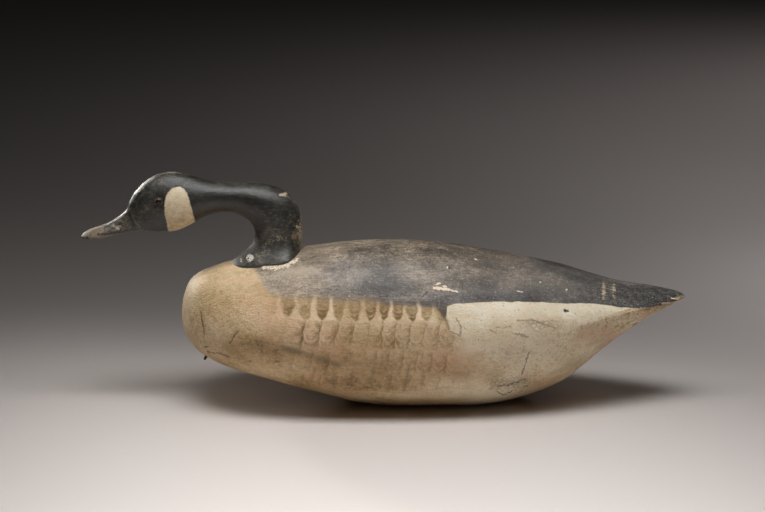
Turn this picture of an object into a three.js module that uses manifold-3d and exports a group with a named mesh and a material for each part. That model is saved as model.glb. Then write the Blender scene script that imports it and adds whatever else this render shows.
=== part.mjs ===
// A carved and painted wooden goose decoy: a rounded hunting float with a separate neck and head.
// Frame: millimetres, +Z up, the bill points to -X and the tail to +X, and the goose's left is -Y.
// The origin is on the floor, under the middle of the overall length.
import * as THREE from 'three';
import { mergeVertices } from 'three/addons/utils/BufferGeometryUtils.js';
import Module from 'manifold-3d';

// Driving dimensions of the body
const BODY_LENGTH = 587;
const BODY_WIDTH = 216;
const BODY_HEIGHT = 187.6; // from the floor to the top of the back

// Driving dimensions of the neck, head and bill, which are carved from one block
const HEAD_REACH = 216; // from the middle of the neck's seat forward to the tip of the bill
const HEAD_RISE = 97.2; // from the body's back at the seat up to the crown
const HEAD_WIDTH = 51;

// Driving dimensions of the small pieces
const EYE_DIAMETER = 6.4;
const EYE_DEPTH = 5;
const NOSTRIL_LENGTH = 9;
const NOSTRIL_DEPTH = 1.8;
const NAIL_HEAD_DIAMETER = 3.4;
const NAIL_SHANK_DIAMETER = 2;
const NAIL_LENGTH = 32;
const STAPLE_WIRE = 2.8;
const STAPLE_SPAN = 13; // between the middles of its legs
const STAPLE_REACH = 9; // how far its eye stands out of the breast
const STAPLE_DEPTH = 12; // how deep its legs are driven in
const CLEARANCE = 0.3; // gap kept between pieces that touch

// The body's ribs, from the breast (first) to the tail (last), bunched toward both ends.
// Heights are shares of the body's height, and widths of its greatest width. Where the keel is
// below zero it is planed off level, which makes the flat that the decoy stands on.
// Columns: crest, widest line, keel, width, fullness above and below the widest line.
const BODY_RIBS = [
  [0.547, 0.547, 0.547, 0.0, 2.0, 2.0],
  [0.753, 0.54, 0.372, 0.361, 2.0, 2.1],
  [0.839, 0.525, 0.256, 0.657, 2.0, 2.2],
  [0.906, 0.508, 0.176, 0.87, 2.0, 2.25],
  [0.958, 0.496, 0.086, 0.972, 2.0, 2.3],
  [0.998, 0.49, -0.008, 1.0, 2.0, 2.4],
  [0.99, 0.496, -0.0187, 0.981, 2.0, 2.6],
  [0.928, 0.512, -0.006, 0.894, 1.95, 2.4],
  [0.851, 0.545, 0.113, 0.722, 1.8, 1.85],
  [0.758, 0.597, 0.365, 0.495, 1.45, 1.35],
  [0.718, 0.63, 0.536, 0.296, 1.25, 1.2],
  [0.688, 0.648, 0.618, 0.13, 1.5, 1.5],
  [0.652, 0.652, 0.652, 0.0, 2.0, 2.0],
];

// The ribs of the neck, head and bill. Each runs from the outer line (nape, crown, culmen) to the
// inner line (throat, chin, under the bill). Columns: outer line forward and up, inner line forward
// and up, width, height of the widest line between the two, fullness outside and inside it.
// Forward is a share of the reach, up is a share of the rise, and width is of the head's width.
const NECK_RIBS = [
  [-0.194, -0.3, 0.3, -0.3, 1.88, 0.5, 2.0, 2.0],
  [-0.186, -0.14, 0.214, -0.13, 1.6, 0.5, 2.0, 2.0],
  [-0.182, 0.01, 0.135, 0.01, 1.333, 0.5, 2.0, 2.0],
  [-0.185, 0.134, 0.081, 0.13, 1.118, 0.5, 2.1, 2.1],
  [-0.19, 0.27, 0.066, 0.235, 1.02, 0.5, 2.1, 2.1],
  [-0.186, 0.442, 0.07, 0.319, 1.0, 0.5, 2.1, 2.1],
  [-0.164, 0.595, 0.083, 0.378, 0.98, 0.5, 2.1, 2.1],
  [-0.124, 0.718, 0.102, 0.424, 0.961, 0.5, 2.1, 2.1],
  [-0.065, 0.806, 0.127, 0.462, 0.922, 0.5, 2.1, 2.1],
  [0.011, 0.858, 0.156, 0.493, 0.863, 0.5, 2.1, 2.1],
  [0.097, 0.878, 0.196, 0.515, 0.804, 0.5, 2.1, 2.1],
  [0.183, 0.874, 0.244, 0.517, 0.775, 0.5, 2.1, 2.1],
];
const HEAD_RIBS = [
  [0.264, 0.884, 0.297, 0.492, 0.79, 0.5, 2.05, 2.1],
  [0.334, 0.912, 0.35, 0.442, 0.85, 0.49, 2.0, 2.1],
  [0.393, 0.95, 0.4, 0.38, 0.922, 0.47, 2.0, 2.2],
  [0.452, 0.986, 0.455, 0.318, 0.98, 0.45, 2.0, 2.2],
  [0.517, 1.0, 0.513, 0.286, 1.0, 0.44, 2.0, 2.3],
  [0.582, 0.972, 0.571, 0.28, 0.98, 0.44, 2.0, 2.3],
  [0.643, 0.896, 0.619, 0.288, 0.922, 0.44, 2.0, 2.3],
  [0.697, 0.779, 0.652, 0.298, 0.81, 0.43, 2.0, 2.3],
  [0.73, 0.663, 0.668, 0.303, 0.71, 0.42, 2.0, 2.3],
  [0.746, 0.575, 0.676, 0.304, 0.64, 0.4, 2.0, 2.3],
];
const BILL_RIBS = [
  [0.756, 0.54, 0.686, 0.3, 0.545, 0.38, 1.9, 2.3],
  [0.797, 0.46, 0.738, 0.278, 0.51, 0.36, 1.9, 2.3],
  [0.861, 0.376, 0.813, 0.242, 0.51, 0.36, 1.9, 2.3],
  [0.915, 0.335, 0.883, 0.2, 0.555, 0.38, 1.9, 2.2],
  [0.958, 0.297, 0.943, 0.181, 0.52, 0.42, 1.9, 2.1],
  [0.988, 0.257, 0.985, 0.188, 0.34, 0.46, 2.0, 2.0],
  [1.0, 0.217, 1.0, 0.217, 0.0, 0.5, 2.0, 2.0],
];
const CARVED_RIBS = [...NECK_RIBS, ...HEAD_RIBS, ...BILL_RIBS];

// Places on the surface: ribs counted along the piece, and degrees from the widest line toward the
// outer line (or, where negative, toward the inner line). Side -1 is the goose's left.
const SIDES = { left: -1, right: 1 };
const SEAT_AT = 0.171; // share of the body's length where the neck stands
const EYE_AT = { rib: 16.86, angle: 15.5 };
const NOSTRIL_AT = { rib: 23.28, angle: 31 };
const NAILS_AT = [
  { name: 'neck_nail_left', side: SIDES.left, rib: 1.97, angle: -48.5 },
  { name: 'neck_nail_front', side: SIDES.left, rib: 1.85, angle: -66 },
  { name: 'neck_nail_right', side: SIDES.right, rib: 1.97, angle: -48.5 },
];
const NAIL_SLOPE = 58; // degrees down from level
const STAPLE_AT = { rib: 1.72, angle: -90 };

// Facets: steps is the number of rings from one rib to the next
const BODY_SKIN = { ribs: BODY_RIBS, steps: 5, sides: 36, firstSide: SIDES.left };
const HEAD_SKIN = { ribs: CARVED_RIBS, steps: 2, sides: 24, firstSide: SIDES.right };
const SMALL_SIDES = 12;
const STAPLE_STEPS = 16;

const wasm = await Module();
wasm.setup();

// A smooth value between the middle two of four equally spaced ones
function smooth(before, from, to, after, share) {
  const bend = 2 * before - 5 * from + 4 * to - after;
  const twist = -before + 3 * from - 3 * to + after;
  return 0.5 * (2 * from + (to - before) * share + bend * share ** 2 + twist * share ** 3);
}

// A rib at any place along a table of ribs
function ribAt(ribs, place) {
  const last = ribs.length - 1;
  const index = THREE.MathUtils.clamp(Math.floor(place), 0, last - 1);
  return ribs[index].map((from, column) => {
    const to = ribs[index + 1][column];
    const before = index > 0 ? ribs[index - 1][column] : 2 * from - to;
    const after = index + 1 < last ? ribs[index + 2][column] : 2 * to - from;
    return smooth(before, from, to, after, place - index);
  });
}

// The body's ribs stand along its length as even steps round a half circle do
const HALF_CIRCLE = Math.PI / (BODY_RIBS.length - 1);
const lengthShare = (place) => (1 - Math.cos(HALF_CIRCLE * place)) / 2;
const placeAlong = (share) => Math.acos(1 - 2 * share) / HALF_CIRCLE;

const FRONT = Math.min(SEAT_AT * BODY_LENGTH - HEAD_REACH, 0); // the foremost point, from the breast
const BREAST_X = -(FRONT + BODY_LENGTH) / 2;
const SEAT_X = BREAST_X + SEAT_AT * BODY_LENGTH;
const SEAT_HEIGHT = ribAt(BODY_RIBS, placeAlong(SEAT_AT))[0] * BODY_HEIGHT;

// The body's section at a place counted in ribs, swollen by grow
function bodySection(place, grow = 0) {
  const [crest, line, keel, width, above, below] = ribAt(BODY_RIBS, place);
  const x = BREAST_X + lengthShare(place) * BODY_LENGTH;
  const point = (height, swell) => new THREE.Vector3(x, 0, height * BODY_HEIGHT + swell);
  return {
    outer: point(crest, grow),
    widest: point(line, 0),
    inner: point(keel, -grow),
    halfWidth: (width * BODY_WIDTH) / 2 + grow,
    fullness: [above, below],
  };
}

// The section of the neck, head or bill at a place counted in ribs
function headSection(place) {
  const [outX, outZ, inX, inZ, width, line, outside, inside] = ribAt(CARVED_RIBS, place);
  const point = (forward, up) =>
    new THREE.Vector3(SEAT_X - forward * HEAD_REACH, 0, SEAT_HEIGHT + up * HEAD_RISE);
  const outer = point(outX, outZ);
  const inner = point(inX, inZ);
  return {
    outer,
    widest: inner.clone().lerp(outer, line),
    inner,
    halfWidth: (width * HEAD_WIDTH) / 2,
    fullness: [outside, inside],
  };
}

// A point of a section: angle 0 is its widest line, 90 its outer line and -90 its inner line
function sectionPoint(section, angle, side) {
  const turn = THREE.MathUtils.degToRad(Math.abs(angle));
  const end = angle < 0 ? section.inner : section.outer;
  const fullness = section.fullness[angle < 0 ? 1 : 0];
  const point = section.widest.clone().lerp(end, Math.sin(turn) ** (2 / fullness));
  point.y = side * section.halfWidth * Math.cos(turn);
  return point;
}

// One ring of points, from the outer line down the first side and up the other
function ring(section, firstSide, count) {
  return Array.from({ length: count }, (_, index) => {
    const angle = 90 - (360 * index) / count;
    const onFirst = angle > -90;
    return sectionPoint(section, onFirst ? angle : -180 - angle, onFirst ? firstSide : -firstSide);
  });
}

// A closed skin over a table of ribs, with each end closed to the middle of its ring. The first
// side is the one that makes its faces point out.
function loft(sectionAt, { ribs, steps, sides, firstSide }) {
  const rows = (ribs.length - 1) * steps;
  const rings = Array.from({ length: rows + 1 }, (_, row) =>
    ring(sectionAt(row / steps), firstSide, sides),
  );
  const middle = (points) =>
    points.reduce((sum, point) => sum.add(point), new THREE.Vector3()).divideScalar(sides);
  const points = [...rings.flat(), middle(rings[0]), middle(rings[rows])];
  const firstEnd = points.length - 2;
  const lastEnd = points.length - 1;
  const faces = [];
  for (let side = 0; side < sides; side += 1) {
    const next = (side + 1) % sides;
    for (let row = 0; row < rows; row += 1) {
      const here = row * sides;
      const there = here + sides;
      faces.push(here + side, here + next, there + side);
      faces.push(here + next, there + next, there + side);
    }
    faces.push(firstEnd, next, side);
    faces.push(lastEnd, rows * sides + side, rows * sides + next);
  }
  const geometry = new THREE.BufferGeometry().setFromPoints(points);
  geometry.setIndex(faces);
  return geometry;
}

// A closed three.js geometry as a solid that can be joined and cut
function solid(geometry) {
  const bare = geometry.clone();
  bare.deleteAttribute('normal');
  bare.deleteAttribute('uv');
  const merged = mergeVertices(bare, 1e-4);
  const corners = Array.from(merged.getIndex().array);
  const triVerts = [];
  for (let start = 0; start < corners.length; start += 3) {
    const [a, b, c] = corners.slice(start, start + 3);
    if (a !== b && b !== c && c !== a) triVerts.push(a, b, c);
  }
  const vertProperties = new Float32Array(merged.getAttribute('position').array);
  const mesh = new wasm.Mesh({ numProp: 3, vertProperties, triVerts: new Uint32Array(triVerts) });
  return new wasm.Manifold(mesh);
}

// A solid as a three.js geometry again
function geometryOf(shape) {
  const { vertProperties, triVerts } = shape.getMesh();
  const geometry = new THREE.BufferGeometry();
  const positions = new Float32Array(vertProperties);
  geometry.setAttribute('position', new THREE.BufferAttribute(positions, 3));
  geometry.setIndex(new THREE.BufferAttribute(new Uint32Array(triVerts), 1));
  geometry.computeVertexNormals();
  return geometry;
}

// A seat on a surface: the point, the way out of it and the way along its ribs
function seatOn(sectionAt, { rib, angle }, side) {
  const nudge = 0.02; // of a rib
  const degrees = 1;
  const point = (place, turn) => sectionPoint(sectionAt(place), turn, side);
  const at = point(rib, angle);
  const along = point(rib + nudge, angle).sub(point(rib - nudge, angle)).normalize();
  const inner = sectionPoint(sectionAt(rib), angle - degrees, side);
  const outer = sectionPoint(sectionAt(rib), angle + degrees, side);
  const out = outer.sub(inner).cross(along).normalize();
  const fromMiddle = at.clone().sub(sectionAt(rib).widest);
  return { at, along, out: out.dot(fromMiddle) < 0 ? out.negate() : out };
}

// Moves a geometry to a seat: its +Z goes the way out, and its X as near the way along as it can
function putOn(geometry, { at, along, out }) {
  const y = out.clone().cross(along).normalize();
  const x = y.clone().cross(out);
  const matrix = new THREE.Matrix4().makeBasis(x, y, out).setPosition(at);
  return geometry.applyMatrix4(matrix);
}

// A turned solid from pairs of radius and height that start and end on the axis, lowest first
function turned(pairs) {
  const profile = pairs.map(([radius, height]) => new THREE.Vector2(radius, height));
  return new THREE.LatheGeometry(profile, SMALL_SIDES).rotateX(Math.PI / 2);
}

// The eye: a bead whose rim is level with the face, with a low dome in front
function eyeShape(grow = 0) {
  const radius = EYE_DIAMETER / 2 + grow;
  const dome = radius * 0.45;
  return turned([
    [0, -EYE_DEPTH - grow],
    [radius * 0.7, -EYE_DEPTH - grow],
    [radius, -EYE_DEPTH * 0.6],
    [radius, 0],
    [radius * 0.8, dome * 0.6],
    [radius * 0.45, dome * 0.9],
    [0, dome],
  ]);
}

// The nail: a flat head, a straight shank and a point. As a hole, its mouth runs out of the wood.
function nailShape(grow = 0) {
  const head = NAIL_HEAD_DIAMETER / 2 + grow;
  const shank = NAIL_SHANK_DIAMETER / 2 + grow;
  const thickness = NAIL_HEAD_DIAMETER / 3;
  const top = grow > 0 ? NAIL_HEAD_DIAMETER : 0;
  return turned([
    [0, -NAIL_LENGTH - grow],
    [shank, -NAIL_LENGTH + 2 * NAIL_SHANK_DIAMETER],
    [shank, -thickness - grow],
    [head, -thickness - grow],
    [head, top],
    [0, top],
  ]);
}

// The nostril: a long shallow hollow that runs forward along the bill
function nostrilShape() {
  const half = NOSTRIL_LENGTH / 2;
  const hollow = new THREE.SphereGeometry(1, SMALL_SIDES, SMALL_SIDES / 2);
  return hollow.scale(half, half * 0.4, NOSTRIL_DEPTH);
}

// The staple's middle line: a leg, a half circle and a leg, spread along X and standing on Z = 0
class StapleLine extends THREE.Curve {
  getPoint(share, target = new THREE.Vector3()) {
    const radius = STAPLE_SPAN / 2;
    const shoulder = STAPLE_REACH - STAPLE_WIRE / 2 - radius;
    const leg = STAPLE_DEPTH + shoulder;
    const arc = Math.PI * radius;
    const run = share * (2 * leg + arc);
    if (run <= leg) return target.set(-radius, 0, run - STAPLE_DEPTH);
    if (run >= leg + arc) return target.set(radius, 0, shoulder - (run - leg - arc));
    const turn = Math.PI - (run - leg) / radius;
    return target.set(radius * Math.cos(turn), 0, shoulder + radius * Math.sin(turn));
  }
}

function stapleShape() {
  const section = new THREE.Shape();
  section.absarc(0, 0, STAPLE_WIRE / 2, 0, 2 * Math.PI, false);
  return new THREE.ExtrudeGeometry(section, {
    steps: STAPLE_STEPS,
    curveSegments: SMALL_SIDES / 2,
    extrudePath: new StapleLine(),
    bevelEnabled: false,
  });
}

// The hole for one leg of the staple, running well out of the wood
function legHole(side) {
  const depth = STAPLE_DEPTH + CLEARANCE;
  const radius = STAPLE_WIRE / 2 + CLEARANCE;
  const hole = new THREE.CylinderGeometry(radius, radius, depth + STAPLE_REACH, SMALL_SIDES);
  return hole.rotateX(Math.PI / 2).translate((side * STAPLE_SPAN) / 2, 0, (STAPLE_REACH - depth) / 2);
}

// The eyes, one on each side of the head
const eyes = Object.entries(SIDES).map(([name, side]) => {
  const seat = seatOn(headSection, EYE_AT, side);
  const pocket = solid(putOn(eyeShape(CLEARANCE), seat));
  return { name: `eye_${name}`, geometry: putOn(eyeShape(), seat), pocket };
});

// The nails, driven down and inward through the foot of the neck into the body
const nails = NAILS_AT.map(({ name, side, ...spot }) => {
  const seat = seatOn(headSection, spot, side);
  const slope = THREE.MathUtils.degToRad(NAIL_SLOPE);
  seat.out.setZ(0).normalize().multiplyScalar(Math.cos(slope)).setZ(Math.sin(slope));
  const pocket = solid(putOn(nailShape(CLEARANCE), seat));
  return { name, geometry: putOn(nailShape(), seat), pocket };
});

// The staple for the anchor line, standing across the keel, low on the breast
const stapleSeat = seatOn(bodySection, STAPLE_AT, SIDES.right);
stapleSeat.along.set(0, 1, 0);
const legHoles = Object.values(SIDES).map((side) => solid(putOn(legHole(side), stapleSeat)));

// The body: its ribs lofted, planed level below and drilled for the staple and the nails
function bodySolid() {
  const planed = new THREE.BoxGeometry(BODY_LENGTH, BODY_WIDTH, BODY_HEIGHT);
  planed.translate(BREAST_X + BODY_LENGTH / 2, 0, -BODY_HEIGHT / 2);
  const cuts = [solid(planed), ...legHoles, ...nails.map(({ pocket }) => pocket)];
  const whole = solid(loft(bodySection, BODY_SKIN));
  return cuts.reduce((shape, cut) => shape.subtract(cut), whole);
}

// The neck, head and bill: its foot is fitted to the back, and it is cut for nostrils, eyes and nails
function headSolid() {
  const back = solid(loft((place) => bodySection(place, CLEARANCE), BODY_SKIN));
  const nostrils = Object.values(SIDES).map((side) =>
    solid(putOn(nostrilShape(), seatOn(headSection, NOSTRIL_AT, side))),
  );
  const cuts = [back, ...nostrils, ...[...eyes, ...nails].map(({ pocket }) => pocket)];
  const whole = solid(loft(headSection, HEAD_SKIN));
  return cuts.reduce((shape, cut) => shape.subtract(cut), whole);
}

// Looks
const paint = (color, roughness) => new THREE.MeshStandardMaterial({ color, roughness });
const iron = (color, roughness) => new THREE.MeshStandardMaterial({ color, roughness, metalness: 1 });
const looks = {
  body: paint(0xb09c7c, 0.75),
  head: paint(0x2b2b2a, 0.45),
  eye: paint(0x2a1a12, 0.15),
  nail: iron(0x6a6058, 0.6),
  staple: iron(0x3a312b, 0.75),
};

const decoy = new THREE.Group();
decoy.name = 'goose_decoy';

function add(name, geometry, material) {
  const mesh = new THREE.Mesh(geometry, material);
  mesh.name = name;
  decoy.add(mesh);
}

add('body', geometryOf(bodySolid()), looks.body);
add('head_and_neck', geometryOf(headSolid()), looks.head);
eyes.forEach(({ name, geometry }) => add(name, geometry, looks.eye));
nails.forEach(({ name, geometry }) => add(name, geometry, looks.nail));
add('line_tie_staple', putOn(stapleShape(), stapleSeat), looks.staple);

export default decoy;
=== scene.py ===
"""The looks of a carved and painted wooden goose decoy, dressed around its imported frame.

Metres, +Z up. The bill points to -X and the tail to +X, and the goose's left side is -Y.
"""
import math

import bpy
import numpy as np
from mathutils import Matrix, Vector


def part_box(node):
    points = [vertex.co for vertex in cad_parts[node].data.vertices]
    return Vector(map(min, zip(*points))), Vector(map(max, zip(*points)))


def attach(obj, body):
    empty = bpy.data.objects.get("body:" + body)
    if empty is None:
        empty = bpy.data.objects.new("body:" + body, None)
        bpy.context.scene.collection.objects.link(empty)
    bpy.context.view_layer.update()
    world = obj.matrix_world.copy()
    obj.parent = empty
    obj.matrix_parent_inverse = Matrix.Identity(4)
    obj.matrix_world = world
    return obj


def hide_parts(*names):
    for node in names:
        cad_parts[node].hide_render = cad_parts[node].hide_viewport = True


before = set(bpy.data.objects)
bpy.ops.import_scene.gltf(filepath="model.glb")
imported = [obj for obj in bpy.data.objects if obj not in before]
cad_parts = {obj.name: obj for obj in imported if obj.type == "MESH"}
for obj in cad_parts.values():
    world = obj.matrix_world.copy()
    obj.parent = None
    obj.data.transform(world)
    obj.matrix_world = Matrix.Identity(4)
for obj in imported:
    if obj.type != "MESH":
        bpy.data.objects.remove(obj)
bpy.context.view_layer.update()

MM = 0.001
LEFT = -1
RIGHT = 1

# The camera: a long lens, a little above the decoy and square to its left side
PHOTO_WIDTH = 765  # pixels
PHOTO_HEIGHT = 512
LENS = 105  # mm
SENSOR = 36  # mm
CAMERA_DISTANCE = 2.595
CAMERA_ELEVATION = math.radians(13)
CAMERA_AIM = Vector((-0.0014, 0, 0.1705))
CAMERA_WAY = Vector((0, math.cos(CAMERA_ELEVATION), -math.sin(CAMERA_ELEVATION)))
CAMERA_UP = Vector((0, math.sin(CAMERA_ELEVATION), math.cos(CAMERA_ELEVATION)))
CAMERA_PLACE = CAMERA_AIM - CAMERA_WAY * CAMERA_DISTANCE
FOCAL_PIXELS = LENS / SENSOR * PHOTO_WIDTH

# The body's ribs, from the breast (first) to the tail (last), bunched toward both ends.
# Columns: crest, widest line, keel (shares of the height), width (a share of the greatest),
# and fullness above and below the widest line.
BODY_RIBS = np.array([
    [0.547, 0.547, 0.547, 0.0, 2.0, 2.0],
    [0.753, 0.54, 0.372, 0.361, 2.0, 2.1],
    [0.839, 0.525, 0.256, 0.657, 2.0, 2.2],
    [0.906, 0.508, 0.176, 0.87, 2.0, 2.25],
    [0.958, 0.496, 0.086, 0.972, 2.0, 2.3],
    [0.998, 0.49, -0.008, 1.0, 2.0, 2.4],
    [0.99, 0.496, -0.0187, 0.981, 2.0, 2.6],
    [0.928, 0.512, -0.006, 0.894, 1.95, 2.4],
    [0.851, 0.545, 0.113, 0.722, 1.8, 1.85],
    [0.758, 0.597, 0.365, 0.495, 1.45, 1.35],
    [0.718, 0.63, 0.536, 0.296, 1.25, 1.2],
    [0.688, 0.648, 0.618, 0.13, 1.5, 1.5],
    [0.652, 0.652, 0.652, 0.0, 2.0, 2.0],
])

# The ribs of the neck, head and bill, from the foot of the neck to the tip of the bill.
# Columns: outer line forward and up, inner line forward and up (shares of the reach and the
# rise), width (a share of the head's), height of the widest line, fullness outside and inside it.
HEAD_RIBS = np.array([
    [-0.194, -0.3, 0.3, -0.3, 1.88, 0.5, 2.6, 2.0],
    [-0.186, -0.14, 0.214, -0.13, 1.6, 0.5, 2.6, 2.0],
    [-0.182, 0.01, 0.135, 0.01, 1.333, 0.5, 2.6, 2.0],
    [-0.185, 0.134, 0.081, 0.13, 1.118, 0.5, 2.4, 2.1],
    [-0.19, 0.27, 0.066, 0.235, 1.02, 0.5, 2.2, 2.1],
    [-0.186, 0.442, 0.07, 0.319, 1.0, 0.5, 2.1, 2.1],
    [-0.164, 0.595, 0.083, 0.378, 0.98, 0.5, 2.1, 2.1],
    [-0.124, 0.718, 0.102, 0.424, 0.961, 0.5, 2.1, 2.1],
    [-0.065, 0.806, 0.127, 0.462, 0.922, 0.5, 2.1, 2.1],
    [0.011, 0.858, 0.156, 0.493, 0.863, 0.5, 2.1, 2.1],
    [0.097, 0.878, 0.196, 0.515, 0.804, 0.5, 2.1, 2.1],
    [0.183, 0.874, 0.244, 0.517, 0.775, 0.5, 2.1, 2.1],
    [0.264, 0.884, 0.297, 0.492, 0.79, 0.5, 2.05, 2.1],
    [0.334, 0.912, 0.35, 0.442, 0.85, 0.49, 2.0, 2.1],
    [0.393, 0.95, 0.4, 0.38, 0.922, 0.47, 2.0, 2.2],
    [0.452, 0.986, 0.455, 0.318, 0.98, 0.45, 2.0, 2.2],
    [0.517, 1.0, 0.513, 0.286, 1.0, 0.44, 2.0, 2.3],
    [0.582, 0.972, 0.571, 0.28, 0.98, 0.44, 2.0, 2.3],
    [0.643, 0.896, 0.619, 0.288, 0.922, 0.44, 2.0, 2.3],
    [0.697, 0.779, 0.652, 0.298, 0.81, 0.43, 2.0, 2.3],
    [0.73, 0.663, 0.668, 0.303, 0.71, 0.42, 2.0, 2.3],
    [0.746, 0.575, 0.676, 0.304, 0.64, 0.4, 2.0, 2.3],
    [0.756, 0.54, 0.686, 0.3, 0.545, 0.38, 1.9, 2.3],
    [0.797, 0.46, 0.738, 0.278, 0.51, 0.36, 1.9, 2.3],
    [0.861, 0.376, 0.813, 0.242, 0.51, 0.36, 1.9, 2.3],
    [0.915, 0.335, 0.883, 0.2, 0.555, 0.38, 1.9, 2.2],
    [0.958, 0.297, 0.943, 0.181, 0.52, 0.42, 1.9, 2.1],
    [0.988, 0.257, 0.985, 0.188, 0.34, 0.46, 2.0, 2.0],
    [1.0, 0.217, 1.0, 0.217, 0.0, 0.5, 2.0, 2.0],
])


def ribs_at(ribs, places):
    """The ribs at any places along a table, smooth between its rows."""
    places = np.asarray(places, float)
    index = np.clip(np.floor(places).astype(int), 0, len(ribs) - 2)
    share = (places - index)[..., None]
    rows = np.vstack([2 * ribs[0] - ribs[1], ribs, 2 * ribs[-1] - ribs[-2]])
    before, start, end, after = (rows[index + step] for step in range(4))
    bend = 2 * before - 5 * start + 4 * end - after
    twist = -before + 3 * start - 3 * end + after
    return 0.5 * (2 * start + (end - before) * share + bend * share**2 + twist * share**3)


def length_share(places):
    return (1 - np.cos(np.pi * np.asarray(places) / (len(BODY_RIBS) - 1))) / 2


def place_along(shares):
    return np.arccos(1 - 2 * np.clip(shares, 0, 1)) * (len(BODY_RIBS) - 1) / np.pi


FINE_STEPS = 4001  # for lengths and heights found by trying many places


def vectors_of(items, field):
    """Three numbers for each item of a mesh, in rows."""
    flat = np.zeros(len(items) * 3, np.float32)
    items.foreach_get(field, flat)
    return flat.reshape(-1, 3).astype(float)


def points_of(piece):
    return vectors_of(piece.data.vertices, "co")


def normals_of(piece):
    return vectors_of(piece.data.vertex_normals, "vector")


# Sizes, read from the frame
BODY_LOW, BODY_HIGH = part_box("body")
HEAD_LOW, HEAD_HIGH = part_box("head_and_neck")
BODY_LENGTH = BODY_HIGH.x - BODY_LOW.x
BODY_WIDTH = BODY_HIGH.y - BODY_LOW.y
BODY_CRESTS = ribs_at(BODY_RIBS, np.linspace(0, len(BODY_RIBS) - 1, FINE_STEPS))[:, 0]
BODY_HEIGHT = BODY_HIGH.z / BODY_CRESTS.max()
SEAT_SHARE = 0.171  # how far along the body the neck stands
SEAT_X = BODY_LOW.x + SEAT_SHARE * BODY_LENGTH
SEAT_HEIGHT = ribs_at(BODY_RIBS, place_along(SEAT_SHARE))[0] * BODY_HEIGHT
HEAD_REACH = SEAT_X - HEAD_LOW.x
HEAD_RISE = (HEAD_HIGH.z - SEAT_HEIGHT) / HEAD_RIBS[:, 1].max()
HEAD_CORNERS = points_of(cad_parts["head_and_neck"])
NECK_SHARE = 0.3  # the neck's foot ends within this share of the reach
AHEAD_OF_NECK = HEAD_CORNERS[:, 0] < SEAT_X - NECK_SHARE * HEAD_REACH
HEAD_WIDTH = 2 * HEAD_CORNERS[AHEAD_OF_NECK, 1].max()


def body_sections(places):
    """Outer, widest and inner points, half widths and fullness of the body's sections."""
    crest, line, keel, width, above, below = np.moveaxis(ribs_at(BODY_RIBS, places), -1, 0)
    x = BODY_LOW.x + length_share(places) * BODY_LENGTH
    points = [np.stack([x, 0 * x, height * BODY_HEIGHT], axis=-1) for height in (crest, line, keel)]
    return (*points, width * BODY_WIDTH / 2, above, below)


def head_sections(places):
    """The same of the neck, head and bill."""
    columns = np.moveaxis(ribs_at(HEAD_RIBS, places), -1, 0)
    out_x, out_z, in_x, in_z, width, line, outside, inside = columns
    outer = np.stack([SEAT_X - out_x * HEAD_REACH, 0 * out_x, SEAT_HEIGHT + out_z * HEAD_RISE], axis=-1)
    inner = np.stack([SEAT_X - in_x * HEAD_REACH, 0 * in_x, SEAT_HEIGHT + in_z * HEAD_RISE], axis=-1)
    widest = inner + (outer - inner) * line[..., None]
    return outer, widest, inner, width * HEAD_WIDTH / 2, outside, inside


def section_points(sections, angles):
    """Points of sections: 90 degrees is the outer line, -90 the inner line on the left side, and
    angles past -90 run up the right side to -270."""
    outer, widest, inner, half_width, outside, inside = sections
    left = angles > -90
    rise = np.where(left, angles, -180 - angles)
    turn = np.radians(np.abs(rise))
    high = rise >= 0
    end = np.where(high[..., None], outer, inner)
    lift = np.sin(turn) ** (2 / np.where(high, outside, inside))
    points = widest + (end - widest) * lift[..., None]
    points[..., 1] = np.where(left, LEFT, RIGHT) * half_width * np.cos(turn)
    return points


def back_height(x, y):
    """The height of the body's upper surface."""
    outer, widest, _, half_width, above, _ = body_sections(place_along((x - BODY_LOW.x) / BODY_LENGTH))
    across = np.clip(np.abs(y) / np.maximum(half_width, 1e-6), 0, 1)
    lift = np.sqrt(1 - across**2) ** (2 / above)
    return widest[..., 2] + (outer[..., 2] - widest[..., 2]) * lift


def add_object(name, data):
    """An object in the scene, at the origin."""
    made = bpy.data.objects.new(name, data)
    bpy.context.scene.collection.objects.link(made)
    return made


# Meshes
def skin(name, rings, first, last):
    """A closed mesh over rings of points, each end closed to one point, faces pointing out."""
    count, around = rings.shape[:2]
    corner = np.arange(count * around).reshape(count, around)
    beside = np.roll(corner, -1, axis=1)
    quads = np.stack([corner[:-1], corner[1:], beside[1:], beside[:-1]], axis=-1).reshape(-1, 4)
    first_corner = np.full(around, count * around)
    first_fan = np.stack([first_corner, corner[0], beside[0]], axis=-1)
    last_fan = np.stack([first_corner + 1, beside[-1], corner[-1]], axis=-1)
    faces = quads.tolist() + first_fan.tolist() + last_fan.tolist()
    points = np.vstack([rings.reshape(-1, 3), first, last])
    mesh = bpy.data.meshes.new(name)
    mesh.from_pydata(points.tolist(), [], faces)
    mesh.shade_smooth()
    return add_object(name, mesh)


def faced_out(piece):
    """Turns a closed mesh's faces over if they point in, found by its signed volume."""
    mesh = piece.data
    mesh.calc_loop_triangles()
    corners = np.zeros(len(mesh.loop_triangles) * 3, np.int32)
    mesh.loop_triangles.foreach_get("vertices", corners)
    a, b, c = points_of(piece)[corners].reshape(-1, 3, 3).transpose(1, 0, 2)
    if np.einsum("ij,ij->i", a, np.cross(b, c)).sum() < 0:
        mesh.flip_normals()
    return piece


def move_points(piece, points):
    piece.data.vertices.foreach_set("co", points.astype(np.float32).ravel())
    piece.data.update()


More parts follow.
